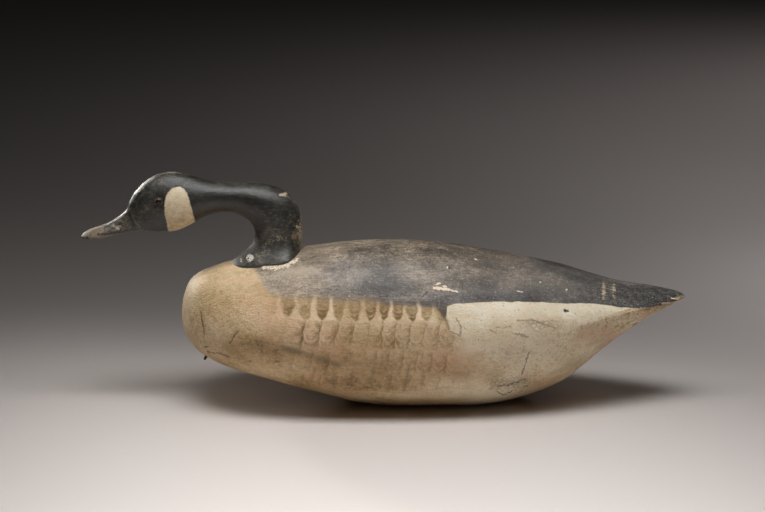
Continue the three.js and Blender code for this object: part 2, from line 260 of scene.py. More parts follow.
BODY_RINGS = 310
BODY_AROUND = 300
BODY_END_EASE = 0.06  # share of the rings that bunch up toward each end
HEAD_RINGS = 410
HEAD_AROUND = 184
HEAD_END_EASE = 0.02
FOOT_RIBS = 6  # the ribs over which the neck's foot is fitted to the back
FOOT_SPREAD = 0.36  # how much wider the foot is behind, as a share of its width
SPREAD_FROM = 2  # the rib at which the spread starts to fade, and over how many
SPREAD_RIBS = 2.5
SEAT_RIBS = 4.0  # the foot meets the back below this rib
SEAT_TRIES = 40  # halvings, to find where
SEAT_GAP = 0.3 * MM


def eased(count, ease):
    """Shares from 0 to 1 that move evenly, and slowly near both ends."""
    steps = np.linspace(0, 1, FINE_STEPS)
    speed = np.minimum(1, np.minimum(steps, 1 - steps) / ease)
    run = np.concatenate([[0], np.cumsum((speed[1:] + speed[:-1]) / 2)])
    return np.interp(np.linspace(0, 1, count), steps, run / run[-1])


def angles_round(count):
    return 90 - 360 * np.arange(count) / count


def make_body():
    shares = eased(BODY_RINGS, BODY_END_EASE)[1:-1]
    sections = [part[:, None] for part in body_sections(place_along(shares))]
    rings = section_points(sections, angles_round(BODY_AROUND)[None, :] + 0 * shares[:, None])
    rings[..., 2] = np.maximum(rings[..., 2], 0)  # planed level below
    ends = [body_sections(place)[1] for place in (0, len(BODY_RIBS) - 1)]
    return faced_out(skin("body_carved", rings, *ends))


def make_head():
    """The neck, head and bill, from where the neck's skin meets the back."""
    angles = angles_round(HEAD_AROUND)
    last = len(HEAD_RIBS) - 1

    def neck_points(places, angles):
        """Points of the sections, with the neck's foot spread out behind."""
        fade = np.clip(1 - (places - SPREAD_FROM) / SPREAD_RIBS, 0, 1) ** 2
        points = section_points(head_sections(places), angles)
        behind = np.maximum(np.sin(2 * np.radians(np.where(angles > -90, angles, -180 - angles))), 0)
        points[..., 1] *= 1 + FOOT_SPREAD * behind * fade
        return points

    def above_seat(places):
        points = neck_points(places, angles)
        return points[..., 2] - back_height(points[..., 0], points[..., 1]) - SEAT_GAP

    low, high = np.zeros(HEAD_AROUND), np.full(HEAD_AROUND, SEAT_RIBS)
    for _ in range(SEAT_TRIES):
        middle = (low + high) / 2
        under = above_seat(middle) < 0
        low, high = np.where(under, middle, low), np.where(under, high, middle)
    fine = np.linspace(0, last, FINE_STEPS)
    widest = head_sections(fine)[1]
    run = np.concatenate([[0], np.cumsum(np.linalg.norm(np.diff(widest, axis=0), axis=1))])
    even = np.interp(eased(HEAD_RINGS, HEAD_END_EASE) * run[-1], run, fine)[:-1, None]
    blend = np.clip(1 - even / FOOT_RIBS, 0, 1)
    places = even + high[None, :] * blend
    rings = neck_points(places, angles[None, :] + 0 * places)
    middle = rings[0].mean(axis=0)
    middle[2] = back_height(middle[0], middle[1])
    tip = head_sections(np.array(float(last)))[1]
    return faced_out(skin("head_carved", rings, middle, tip))


# The stage
FLOOR_REACH = 14
FLOOR_COLOUR = (0.6, 0.548, 0.522, 1)
FLOOR_ROUGHNESS = 0.6
SKY_COLOUR = (1, 1, 0.92, 1)
SKY_STRENGTH = 0.0065
LAMPS = [  # name, place, aim, size, power in watts, spread in degrees, colour
    ("overhead", (0, -0.25, 1.0), (0, -0.25, 0), (1.1, 0.4), 4.3, 180, (1, 1, 1)),
    ("overhead_beam", (0, -0.25, 0.99), (0, -0.25, 0), (1.1, 0.4), 1.47, 60, (1, 1, 1)),
    ("front", (0, -0.8, 1.0), (0, -0.8, 0), (1.1, 0.4), 3.5, 60, (1, 1, 1)),
    ("left_rim", (-1.15, 1.27, 0.6), (-0.32, 0, 0.21), (0.3, 0.4), 0.24, 14, (1, 0.96, 0.9)),
    ("far_right", (1.9, 2.4, 1.4), (1.4, 1.9, 0), (0.8, 0.8), 4.2, 140, (1, 0.95, 0.96)),
    ("far_middle", (0.6, 1.6, 1.0), (0.6, 1.6, 0), (0.8, 0.8), 0.32, 120, (1, 1, 1)),
    ("right_floor", (0.8, 0.9, 0.9), (0.8, 0.9, 0), (0.6, 0.8), 0.41, 90, (1, 1, 1)),
    ("tail_floor", (0.75, 0.45, 0.89), (0.75, 0.45, 0), (0.4, 0.5), 0.29, 60, (1, 1, 1)),
]


def lamp(name, place, aim, size, power, spread, colour):
    light = bpy.data.lights.new(name, "AREA")
    light.shape = "RECTANGLE"
    light.size, light.size_y = size
    light.energy = power
    light.color = colour
    light.spread = math.radians(spread)
    holder = add_object(name, light)
    holder.location = place
    holder.rotation_euler = (Vector(aim) - Vector(place)).to_track_quat("-Z", "Y").to_euler()
    holder.visible_camera = False


def make_camera():
    lens = bpy.data.cameras.new("camera")
    lens.lens = LENS
    lens.sensor_width = SENSOR
    camera = add_object("camera", lens)
    camera.location = CAMERA_PLACE
    camera.rotation_euler = (math.pi / 2 - CAMERA_ELEVATION, 0, 0)
    bpy.context.scene.camera = camera


def make_stage():
    mesh = bpy.data.meshes.new("floor")
    corners = [(x * FLOOR_REACH, y * FLOOR_REACH, 0) for x, y in ((-1, -1), (1, -1), (1, 1), (-1, 1))]
    mesh.from_pydata(corners, [], [(0, 1, 2, 3)])
    floor = add_object("floor", mesh)
    paint = bpy.data.materials.new("floor_paint")
    paint.use_nodes = True
    shader = paint.node_tree.nodes["Principled BSDF"]
    shader.inputs["Base Color"].default_value = FLOOR_COLOUR
    shader.inputs["Roughness"].default_value = FLOOR_ROUGHNESS
    mesh.materials.append(paint)
    world = bpy.data.worlds.new("studio")
    bpy.context.scene.world = world
    world.use_nodes = True
    sky = world.node_tree.nodes["Background"]
    sky.inputs["Color"].default_value = SKY_COLOUR
    sky.inputs["Strength"].default_value = SKY_STRENGTH
    bpy.context.scene.view_settings.view_transform = "Standard"


# Where the paint and its damage lie, in pixels of the photograph, drawn on the decoy's left side.
# Each mark is a short stroke: from x, y to x, y, and its half width.
BACK_OUTLINE = [
    (247, 240), (250, 262), (257, 273), (263, 285), (270, 294), (284, 297), (300, 298), (340, 300),
    (372, 302), (388, 305.5), (415, 307.5), (440, 308), (447.5, 305), (459, 303.3), (480, 302),
    (520, 301.8), (560, 303), (592, 303.8), (612, 305.6), (628, 308), (640, 308.8), (652, 307.6),
    (664, 304.6), (675, 301.2), (690, 297.5), (690, 260), (600, 225), (450, 200), (300, 205),
]
NOTCH_OUTLINE = [
    (431, 303), (447, 303.5), (446.6, 312), (446.4, 317.5), (443.5, 317), (440.5, 313), (437, 309),
    (433, 306.5),
]
WHITE_OUTLINE = [
    (446.8, 298), (446.6, 312), (446.2, 318), (448.6, 324), (450, 331), (457, 336), (463, 339), (470, 349),
    (500, 349), (530, 343), (556, 335), (575, 328), (592, 323.5), (604, 318.5), (614, 312.5), (630, 309.3),
    (634, 300),
]
CHEEK_OUTLINE = [
    (177.4, 186.4), (172, 187.8), (168.2, 191.5), (165.8, 197), (164.6, 204), (164.5, 212), (165.4, 219),
    (167.2, 226), (169, 232), (171, 244), (188, 244), (196, 224), (193.4, 215), (191.2, 207), (189.4, 200),
    (187.6, 194), (185, 189.4), (181.4, 187),
]
FEATHER_TOPS = [(262, 294), (280, 296), (300, 298), (347, 300), (378, 302.5), (405, 304.5), (440, 306)]
FEATHER_TIPS = [(262, 314), (280, 317.5), (300, 320), (340, 321), (430, 321), (460, 325)]

# The feathers: where the light spires stand between the dark tongues, and how strong both are
SPIRES = [263, 279, 297, 314, 331, 347, 363, 378, 390.5, 405, 419, 434, 449, 464]
SPIRE_STRENGTH = [0.1, 0.3, 0.35, 0.5, 0.9, 0.05, 0.1, 0.17, 1.1, 0.16, 1.2, 0.25, 0.1, 0]
TONGUES = [(left + right) / 2 for left, right in zip(SPIRES, SPIRES[1:])]
TONGUE_STRENGTH = [0.35, 0.95, 0.25, 1.6, 0.8, 0.75, 1.3, 1.35, 1.3, 0.95, 0.6, 0.6, 0.6]
LOWER_LIGHT = 0.4
LOWER_ROWS = [0, 30, 53, 73]  # pixels down from the first row's tips
FIRST_ROW_TOP = 0.06  # nothing of a row above the first one shows
FEATHER_FALL = [-0.3, 0.04, 1, 1.4, 2.2, 3.1, 4]  # rows down, for the strength of the marks
FEATHER_STRENGTH = [0, 1, 1, 0.95, 0.5, 0.45, 0]
FIRST_ROW_REACH = [266, 284, 436, 458]  # where the marks start, are full, and end
LOWER_REACH = [275, 300, 450, 475]


def chain(points, *half_widths):
    """Strokes that follow each other along points."""
    return [(*start, *end, width) for start, end, width in zip(points, points[1:], half_widths)]


BODY_STROKES = [  # dark checks and scratches
    *chain([(200.4, 311.5), (202.2, 323), (204.4, 334)], 0.3, 0.45),
    *chain([(238, 331.5), (233.5, 336.5), (229.5, 344)], 0.5, 0.3),
    *chain([(216, 353), (221, 354), (229, 357)], 0.6, 0.4),
    *chain([(497, 392), (504, 395.5), (512, 391.5)], 0.3, 0.3),
    (207, 351.5, 214, 353.5, 0.5), (462, 280, 462.6, 289, 0.35), (422, 297, 428, 291, 0.4),
    (529, 352, 526, 362, 0.2), (525.5, 364, 522, 374, 0.25), (498, 386.5, 505, 385, 0.35),
    (506, 386, 516, 382.5, 0.4), (516, 383, 525, 379, 0.25), (524, 386.8, 527.5, 386.4, 0.7),
    (276, 361.5, 279, 361.5, 0.8), (249, 361, 250.5, 361.5, 0.7), (205, 346.6, 208, 346.8, 0.5),
]
BODY_LINES = [  # fine brown cracks in the white, and a feather's edge
    *chain([(531, 319.5), (543, 324), (555, 328)], 0.5, 0.4),
    *chain([(456, 318), (461, 327), (460.4, 335)], 0.6, 0.8),
    (437, 311, 446, 320, 0.4), (517, 320.5, 531, 320, 0.3), (515, 334, 525, 334.8, 0.3),
    (521, 335.5, 528, 337, 0.5), (497, 327, 500, 327, 0.4), (490, 330, 496, 332.5, 0.3),
    (503, 328, 511, 326.5, 0.2), (460, 336, 450, 331, 0.4),
]
BODY_DOTS = [(565, 310.3, 568.2, 311.2, 1.3), (449.8, 267.3, 450, 267.3, 1.15)]
BODY_CHIPS = [  # bare places
    (434.5, 287.6, 441, 288.4, 1.7), (441, 288.6, 450, 289.4, 1.5), (450, 289.8, 457.5, 291.8, 1.0),
    (436.6, 284.2, 440, 283.8, 1.1), (443.4, 286, 446.4, 286.6, 0.9), (447.5, 267.2, 447.6, 267.2, 1.0),
    (475.5, 258.6, 476.5, 259.2, 1.1), (518, 291.2, 522.5, 292.2, 0.6), (566.8, 288.8, 567, 289, 0.8),
    (539.5, 281.8, 540.5, 282.2, 0.7), (672, 298, 677, 299, 0.7),
]
SMUDGES = [  # soft dark marks: x, y to x, y, half width and strength
    (262, 341, 283, 347, 2.5, 0.45), (283, 348, 300, 352.5, 3.0, 0.9), (300, 353, 318, 360, 2.5, 0.55),
    (318, 359, 338, 365, 3.0, 0.75), (236, 343, 262, 343, 2.0, 0.3), (340, 362, 372, 366, 3.0, 0.35),
    (430, 375, 468, 374, 2.5, 0.4), (296, 372, 306, 379, 2.0, 0.3), (324, 377, 330, 381, 2.0, 0.25),
    (515, 384, 526, 380, 3.5, 0.45), (519, 321, 545, 323, 3.0, 0.3), (402, 303, 447, 305, 1.8, 0.5),
    (442, 313, 446.5, 321, 1.2, 0.9), (446.5, 321, 449, 329, 0.6, 0.9), (424, 323, 432, 336, 0.5, 0.5),
    (438.5, 326, 433, 336, 0.4, 0.4), (430, 300, 445, 306, 1.5, 0.4),
    # the edges of the lowest feathers
    (315, 369, 311, 381, 1.2, 0.55), (335, 369, 331, 382, 1.2, 0.5), (353, 371, 349, 384, 1.2, 0.55),
    (374, 370, 370, 384, 1.2, 0.6), (391, 377, 388, 390, 1.2, 0.65), (409, 366, 404, 390, 1.2, 0.65),
    (423.5, 370, 421, 383, 1.2, 0.45),
]
PUTTY = chain([(263, 268.4), (275, 268.6), (287, 266), (297, 260.4)], 1.5, 2.0, 2.0)
HEAD_CHIPS = [
    (297, 226, 297.4, 226.4, 0.9), (117.5, 228.4, 118.4, 228.8, 1.3), (240.6, 259, 241.2, 261.4, 0.7),
    (275, 182, 281, 181.6, 0.6), (287.5, 192.5, 289, 192, 1.0), (281, 194.5, 285, 194, 1.5),
]
NAIL_RING = (250, 257.8, 250, 257.8, 3.6)
PLUG = (294, 236.8, 294, 236.8, 3.0)
NOSTRIL_LINE = [(115.5, 224.6, 119.4, 224.2, 0.7)]
BILL_EDGE_POINTS = [(129.6, 209), (131.4, 214.5), (135, 221.5), (140.5, 228)]
BILL_LINES = chain(BILL_EDGE_POINTS, 0.5, 0.55, 0.6)  # the worn edge between the bill and the face
BILL_OUTLINE = [(60, 190), (128.5, 204), *BILL_EDGE_POINTS, (143, 245), (60, 260)]
MOUTH_POINTS = [(97, 235.2), (108, 234.6), (118, 233.2), (131, 230.6), (143, 229)]
MOUTH_LINES = chain(MOUTH_POINTS, 0.35, 0.45, 0.5, 0.55)
TIP_WEAR = [
    (84, 234, 90, 231, 4.0), (90, 231, 100, 229.5, 4.0), (90, 236.5, 107, 236.8, 1.9),
    (107, 236.2, 112, 235.6, 0.8),
]


# Places and distances
def photo_place(points):
    """The pixel of the photograph at which each point is seen, the right side mirrored to the left."""
    mirrored = points * (1, 0, 1)
    mirrored[..., 1] = -np.abs(points[..., 1])
    offset = mirrored - np.array(CAMERA_PLACE)
    depth = offset @ np.array(CAMERA_WAY)
    across = PHOTO_WIDTH / 2 + FOCAL_PIXELS * offset[..., 0] / depth
    down = PHOTO_HEIGHT / 2 - FOCAL_PIXELS * (offset @ np.array(CAMERA_UP)) / depth
    return np.stack([across, down], axis=-1)


def stroke_distance(spots, stroke):
    """The distance in pixels from a stroke's middle line."""
    start, end = np.array(stroke[:2], float), np.array(stroke[2:4], float)
    run = end - start
    share = np.clip((spots - start) @ run / max(run @ run, 1e-9), 0, 1)
    return np.linalg.norm(spots - start - share[..., None] * run, axis=-1)


def rounded(outline):
    """An outline with its corners cut twice."""
    for _ in range(2):
        corners = np.array(outline, float)
        after = np.roll(corners, -1, axis=0)
        cuts = [0.75 * corners + 0.25 * after, 0.25 * corners + 0.75 * after]
        outline = np.stack(cuts, axis=1).reshape(-1, 2)
    return outline.tolist()


def outline_distance(spots, outline):
    """The signed distance in pixels from an outline, positive inside."""
    nearest = np.full(len(spots), 1e9)
    inside = np.zeros(len(spots), bool)
    for start, end in zip(outline, outline[1:] + outline[:1]):
        nearest = np.minimum(nearest, stroke_distance(spots, (*start, *end)))
        spans = (start[1] > spots[:, 1]) != (end[1] > spots[:, 1])
        rise = end[1] - start[1] if end[1] != start[1] else 1e-9
        crossing = start[0] + (spots[:, 1] - start[1]) * (end[0] - start[0]) / rise
        inside ^= spans & (spots[:, 0] < crossing)
    return np.where(inside, nearest, -nearest)


def patches(spots, table):
    """The sum of soft patches: middle x, y, half sizes and strength."""
    total = np.zeros(len(spots))
    for x, y, wide, high, strength in table:
        total += strength * np.exp(-((spots[:, 0] - x) / wide) ** 2 - ((spots[:, 1] - y) / high) ** 2)
    return total


SCATTER_AXES = (73856093, 19349663, 83492791)  # odd numbers that scatter the noise's lattice
SCATTER_SEED = 2654435761
SCATTER_STEPS = ((15, 2246822519), (13, 3266489917))
SCATTER_BITS = 0xFFFFFFFF


def noise(points, size, seed):
    """Smooth noise between -1 and 1 with lumps about size across, the same on each run."""
    cell = np.floor(points / size).astype(np.int64)
    share = points / size - cell
    share = share * share * (3 - 2 * share)
    total = np.zeros(len(points))
    for corner in range(8):
        step = np.array([corner & 1, corner >> 1 & 1, corner >> 2 & 1])
        scattered = (cell + step) * SCATTER_AXES
        mixed = (np.bitwise_xor.reduce(scattered, axis=1) ^ seed * SCATTER_SEED) & SCATTER_BITS
        for shift, factor in SCATTER_STEPS:
            mixed = (mixed ^ mixed >> shift) * factor & SCATTER_BITS
        weight = np.where(step, share, 1 - share).prod(axis=1)
        total += weight * ((mixed ^ mixed >> 16) / 2**31 - 1)
    return total


def store(piece, name, values):
    """Keeps a number, or three, for each point of a piece."""
    values = np.asarray(values, np.float32)
    kind, field = ("FLOAT_VECTOR", "vector") if values.ndim == 2 else ("FLOAT", "value")
    piece.data.attributes.new(name, kind, "POINT").data.foreach_set(field, values.ravel())


SIDE_STEP = 100  # keeps the marks of one side off the other


def store_place(piece, points):
    spots = photo_place(points)
    side = np.sign(points[:, 1]) * SIDE_STEP
    store(piece, "photo_place", np.column_stack([spots, side]))
    return spots


# Materials
NOISE_SPREAD = 4.5  # brings a noise node's 0 to 1, mostly near 0.5, to about -1 to 1
RAGGED_EDGE = (0.5, 0.78)
MIX_INPUTS = (0, 6, 7)  # a Mix node's share and colours, and where its colour comes out
MIX_OUTPUT = 2


class Value:
    """A number or colour that a shader works out. It adds and multiplies like a number."""

    def __init__(self, paint, socket):
        self.paint = paint
        self.socket = socket

    def __add__(self, other):
        return self.paint.math("ADD", self, other)

    def __sub__(self, other):
        return self.paint.math("SUBTRACT", self, other)

    def __rsub__(self, other):
        return self.paint.math("SUBTRACT", other, self)

    def __mul__(self, other):
        return self.paint.math("MULTIPLY", self, other)

    __radd__ = __add__

    def edge(self, low, high):
        """0 below low, 1 above high, smooth between; the other way round if low is above high."""
        inputs = {"Value": self, "From Min": low, "From Max": high}
        return self.paint.node("MapRange", inputs, interpolation_type="SMOOTHSTEP", clamp=False)

    def or_more(self, other):
        return self.paint.math("MAXIMUM", self, other)

    def beside(self, output):
        """Another output of the same node."""
        return Value(self.paint, self.socket.node.outputs[output])


class Finish:
    """A material and its nodes. An input can be a number, a colour or a Value."""

    def __init__(self, name):
        self.material = bpy.data.materials.new(name)
        self.material.use_nodes = True
        self.tree = self.material.node_tree
        self.shader = self.tree.nodes["Principled BSDF"]
        place = self.node("TexCoord", output="Object")
        self.where = self.vector("MULTIPLY", place, (1 / MM, 1 / MM, 1 / MM))  # in millimetres

    def node(self, kind, inputs=(), output=0, **settings):
        made = self.tree.nodes.new("ShaderNode" + kind)
        for setting, value in settings.items():
            setattr(made, setting, value)
        for socket, value in dict(inputs).items():
            self.feed(made.inputs[socket], value)
        return Value(self, made.outputs[output])

    def feed(self, socket, value):
        if isinstance(value, Value):
            self.tree.links.new(value.socket, socket)
        elif isinstance(value, tuple) and len(value) == 3 and socket.type == "RGBA":
            socket.default_value = (*value, 1)
        else:
            socket.default_value = value

    def set(self, name, value):
        """Sets or feeds an input of the shader itself."""
        self.feed(self.shader.inputs[name], value)

    def math(self, operation, *values):
        return self.node("Math", enumerate(values), operation=operation)

    def vector(self, operation, *values, output=0):
        return self.node("VectorMath", enumerate(values), output, operation=operation)

    def field(self, name, output="Fac"):
        """A number kept for each point of the piece."""
        return self.node("Attribute", output=output, attribute_name=name)

    def noise(self, size, detail=2.0, rough=0.5, stretch=(1, 1, 1), warp=0.0, where=None):
        """Noise around zero, mostly between -1 and 1, with lumps about size across."""
        place = self.vector("DIVIDE", where or self.where, stretch)
        inputs = {"Vector": place, "Scale": 1 / size, "Detail": detail, "Roughness": rough}
        return self.node("TexNoise", {**inputs, "Distortion": warp}, "Fac") * NOISE_SPREAD - NOISE_SPREAD / 2

    def cells(self, size, stretch=(1, 1, 1), **settings):
        """The distance from the middle or the edge of rounded cells about size across."""
        place = self.vector("DIVIDE", self.where, stretch)
        return self.node("TexVoronoi", {"Vector": place, "Scale": 1 / size}, "Distance", **settings)

    def ramp(self, value, stops):
        """A colour from a list of (place, colour)."""
        made = self.tree.nodes.new("ShaderNodeValToRGB")
        elements = made.color_ramp.elements
        while len(elements) < len(stops):
            elements.new(0.5)
        for element, (place, colour) in zip(elements, stops):
            element.position = place
            element.color = (*colour, 1)
        self.feed(made.inputs["Fac"], value)
        return Value(self, made.outputs["Color"])

    def over(self, share, under, top):
        """The colour top laid over the colour under."""
        return self.node("Mix", zip(MIX_INPUTS, (share, under, top)), MIX_OUTPUT, data_type="RGBA")

    def nearness(self, spots, stroke, soft, side=0):
        """1 on a stroke and 0 off it, soft pixels wide at its edge."""
        x, y, end_x, end_y, half_width = stroke
        run = (end_x - x, end_y - y, 0)
        length = run[0] ** 2 + run[1] ** 2
        from_line = self.vector("SUBTRACT", spots, (x, y, side))
        if length > 0:
            dot = self.vector("DOT_PRODUCT", from_line, run, output="Value")
            share = self.math("MINIMUM", self.math("DIVIDE", dot, length), 1.0).or_more(0.0)
            along = self.node("VectorMath", {0: run, "Scale": share}, operation="SCALE")
            from_line = self.vector("SUBTRACT", from_line, along)
        distance = self.vector("LENGTH", from_line, output="Value")
        return distance.edge(half_width + soft, max(half_width - soft, 0.0))

    def strokes(self, spots, table, soft, side=0):
        total = self.nearness(spots, table[0], soft, side)
        for stroke in table[1:]:
            total = total.or_more(self.nearness(spots, stroke, soft, side))
        return total

    def ragged(self, spots, table, soft, roughness):
        """Strokes on the left side broken up by noise: 1 on the marks and 0 off them."""
        near = self.strokes(spots, table, soft, LEFT * SIDE_STEP) + roughness
        return near.edge(*RAGGED_EDGE)

    def spots(self, wander, size, sided=True):
        """The photo places of the surface, made to wander a little so that strokes look ragged."""
        drawn = self.field("photo_place", "Vector")
        if not sided:
            drawn = self.vector("MULTIPLY", drawn, (1, 1, 0))
        inputs = {"Vector": self.where, "Scale": 1 / size, "Detail": 3.0}
        shift = self.vector("SUBTRACT", self.node("TexNoise", inputs, "Color"), (0.5, 0.5, 0.5))
        shift = self.vector("MULTIPLY", shift, (wander, wander, 0))
        return self.vector("ADD", drawn, shift)

    def bump(self, height, depth):
        """Fine relief: height times depth, in millimetres."""
        inputs = {"Height": height, "Distance": depth * MM, "Strength": 1.0}
        self.set("Normal", self.node("Bump", inputs))


# Paints from dark to light: the place on the scale, then red, green and blue
BUFF = [
    (0.0, (0.07, 0.046, 0.019)), (0.25, (0.23, 0.15, 0.062)), (0.5, (0.54, 0.36, 0.176)),
    (0.72, (0.74, 0.56, 0.342)), (1.0, (0.93, 0.81, 0.59)),
]
CREAM = [
    (0.0, (0.34, 0.235, 0.12)), (0.35, (0.63, 0.475, 0.29)), (0.7, (0.86, 0.72, 0.505)),
    (1.0, (0.95, 0.86, 0.69)),
]
WORN_GREY = [
    (0.0, (0.0175, 0.0145, 0.011)), (0.3, (0.055, 0.045, 0.0345)), (0.6, (0.14, 0.11, 0.081)),
    (0.85, (0.32, 0.25, 0.178)), (1.0, (0.5, 0.4, 0.29)),
]
SLATE = [
    (0.0, (0.016, 0.0162, 0.0155)), (0.3, (0.053, 0.051, 0.0475)), (0.6, (0.138, 0.126, 0.115)),
    (0.85, (0.3, 0.262, 0.226)), (1.0, (0.46, 0.405, 0.345)),
]
BLACK = [
    (0.0, (0.0085, 0.0078, 0.0058)), (0.25, (0.0165, 0.0155, 0.011)), (0.5, (0.047, 0.043, 0.032)),
    (0.75, (0.115, 0.1, 0.074)), (1.0, (0.22, 0.188, 0.138)),
]
CHEEK_BUFF = [
    (0.0, (0.18, 0.12, 0.055)), (0.35, (0.44, 0.31, 0.16)), (0.7, (0.76, 0.6, 0.37)),
    (1.0, (0.88, 0.77, 0.56)),
]
WORN_TIP = [(0.0, (0.09, 0.07, 0.045)), (0.5, (0.26, 0.2, 0.13)), (1.0, (0.56, 0.46, 0.33))]
NAIL_IRON = [(0.0, (0.035, 0.025, 0.02)), (0.55, (0.12, 0.075, 0.05)), (1.0, (0.3, 0.26, 0.22))]
STAPLE_IRON = [(0.0, (0.012, 0.009, 0.008)), (0.55, (0.045, 0.026, 0.018)), (1.0, (0.1, 0.06, 0.04))]

# Single paints; where a name has two, the surface varies between them
BLUSH = (0.7, 0.42, 0.245)
BLUSH_ON_CREAM = (0.85, 0.6, 0.41)
OLIVE = (0.44, 0.35, 0.16)
OLIVE_ON_CREAM = (0.62, 0.55, 0.34)
FLECK = (0.5, 0.43, 0.34)
SPIRE_PAINTS = (0.9, 0.7, 0.48), (0.89, 0.66, 0.44)
TONGUE_PAINTS = (0.25, 0.135, 0.045), (0.17, 0.105, 0.03)
SMUDGE = (0.12, 0.088, 0.045)
BODY_WOODS = (0.3, 0.21, 0.12), (0.66, 0.52, 0.36)
HEAD_WOODS = (0.17, 0.11, 0.075), (0.58, 0.47, 0.33)
SPECKS = (0.2, 0.14, 0.07), (0.5, 0.42, 0.33)
CRACK = (0.17, 0.125, 0.065)
PRIMER = (0.9, 0.75, 0.57)
HEAD_PRIMER = (0.56, 0.44, 0.33)
BROWN_LINE = (0.24, 0.17, 0.09)
DARK_CHECK = (0.06, 0.042, 0.025)
BILL_EDGE = (0.19, 0.175, 0.14)
PLUG_WOOD = (0.24, 0.165, 0.105)
NAIL_PAINT = (0.74, 0.7, 0.62)
GROOVE_PAINTED_SHADE = (0.006, 0.005, 0.004)
EYE_RING = (0.2, 0.14, 0.1)
SEAM_PAINTED_SHADOW = (0.02, 0.014, 0.01)
EYE_BROWNS = (0.012, 0.006, 0.004), (0.05, 0.022, 0.013)


FEATHER_STAGGER = 0.5  # how far each row is moved along, in feathers
FEATHER_SLANT = 0.3
DOWN_WOBBLE = 0.05
ALONG_WOBBLE = 0.07
ARC_BEND = 0.3
ARC_TURN = 24.0  # radians of the brushed arcs over a feather's length
TONGUE_WIDTH = 0.78
TONGUE_NARROWING = 0.65
RISING = (0.7, 0, 0.7)  # the slant of the flecks on the back
FALLING = (0.7, 0, -0.7)


def first_row(paint, fall, aside, tip, strokes):
    """Brown tongues that reach down between light spires: (dark, light)."""
    narrowing = paint.math("POWER", 1 - paint.math("POWER", fall, 3.0), TONGUE_NARROWING)
    inside = narrowing * TONGUE_WIDTH - paint.math("ABSOLUTE", aside)
    tongue = inside.edge(-0.2, 0.24)
    rim = inside.edge(0.5, 0.0) * aside.edge(-0.5, 0.6)
    dark = tongue * (0.45 + tip * 0.3 + rim * 0.25 + strokes)
    light = (1 - tongue) * (0.6 + fall.edge(-0.2, 0.6) * 0.45)
    return dark, light


def later_rows(fall, aside, tip, strokes):
    """Feathers that are dark along their right edge and light along their left: (dark, light)."""
    middle = fall.edge(-0.1, 0.25) * fall.edge(1.02, 0.75)
    right_edge = aside.edge(-0.1, 0.9) * 0.35 + aside.edge(0.45, 0.95) * 0.5
    dark = middle * (right_edge + tip * 0.25 + strokes * 1.3)
    left_edge = middle * aside.edge(-0.4, -0.92)
    light = left_edge * 0.6 + fall.edge(0.75, 1.0) * 0.25 + fall.edge(0.3, 0.0) * 0.45
    return dark, light


def feather_marks(paint):
    """Painted feathers in rows that stagger: (dark, light, a number that differs by feather)."""
    wobble = paint.noise(size=10, detail=1)
    down = paint.field("feather_down") + wobble * DOWN_WOBBLE
    row = paint.math("FLOOR", down)
    fall = paint.math("FRACT", down)  # 0 at the top of a feather and 1 at its tip
    first = row.edge(0.6, 0.3)
    later = 1 - first
    along = paint.field("feather_across") + wobble * ALONG_WOBBLE + fall * later * FEATHER_SLANT
    cell = along + row * FEATHER_STAGGER
    cell_place = paint.node("CombineXYZ", {0: paint.math("FLOOR", cell), 1: row})
    chance = paint.node("TexWhiteNoise", {"Vector": cell_place}, "Value")
    aside = paint.math("FRACT", cell) * 2.0 - 1.0  # -1 and 1 between two feathers
    tip = fall.edge(0.1, 0.85)
    arcs = paint.math("SINE", (aside * aside * ARC_BEND + fall) * ARC_TURN + wobble) * tip
    strokes = arcs * 0.3 + paint.noise(size=5) * 0.25
    first_dark, first_light = first_row(paint, fall, aside, tip, strokes)
    later_dark, later_light = later_rows(fall, aside, tip, strokes)
    dark = (first * first_dark + later * later_dark) * (chance * 0.5 + 0.75) * paint.field("feather_dark")
    light = (first * first_light + later * later_light) * paint.field("feather_light")
    strength = paint.field("feather_strength")
    return dark * strength, light * strength, chance


def side_paint(paint, texture, dark_marks, light_marks):
    """The buff sides, mottled and rubbed."""
    tone = paint.field("side_tone") + texture - dark_marks * 0.15 + light_marks * 0.1
    sides = paint.over(paint.blush * 0.5, paint.ramp(tone, BUFF), BLUSH)
    return paint.over(paint.olive * 0.45, sides, OLIVE)


def flank_paint(paint, texture):
    """The cream rear flank."""
    tone = paint.field("white_tone") + texture
    flank = paint.over(paint.olive * 0.25, paint.ramp(tone, CREAM), OLIVE_ON_CREAM)
    return paint.over(paint.blush * 0.25, flank, BLUSH_ON_CREAM)


def back_paint(paint):
    """The grey back, browner where it is worn, with slanting flecks in front."""
    texture = paint.mottle * 0.14 + paint.grain * 0.13 + paint.fine * 0.16
    tone = paint.field("back_tone") + texture * paint.field("grit")
    hue = (paint.field("back_blue") + paint.mottle * 0.3).edge(0.2, 0.8)
    back = paint.over(hue, paint.ramp(tone, WORN_GREY), paint.ramp(tone, SLATE))
    rising = paint.vector("DOT_PRODUCT", paint.where, RISING, output="Value")
    falling = paint.vector("DOT_PRODUCT", paint.where, FALLING, output="Value")
    slanted = paint.node("CombineXYZ", {0: rising * 0.25, 1: falling})
    flecks = paint.noise(size=1.6, detail=2, rough=0.6, where=slanted) * 0.4 + paint.field("flecks")
    return paint.over(flecks.edge(0.75, 1.15) * 0.6, back, FLECK)


def with_feathers(paint, colour, dark_marks, light_marks, chance):
    """The feathers, which run up into the back's lower edge, and the soft smudges below them."""
    colour = paint.over(light_marks * 0.8, colour, paint.over(chance, *SPIRE_PAINTS))
    colour = paint.over(dark_marks * 0.75, colour, paint.over(chance, *TONGUE_PAINTS))
    smudge = (paint.field("smudge") + paint.fine * 0.1 + paint.mottle * 0.12).edge(0.05, 1.0)
    return paint.over(smudge * 0.62, colour, SMUDGE)


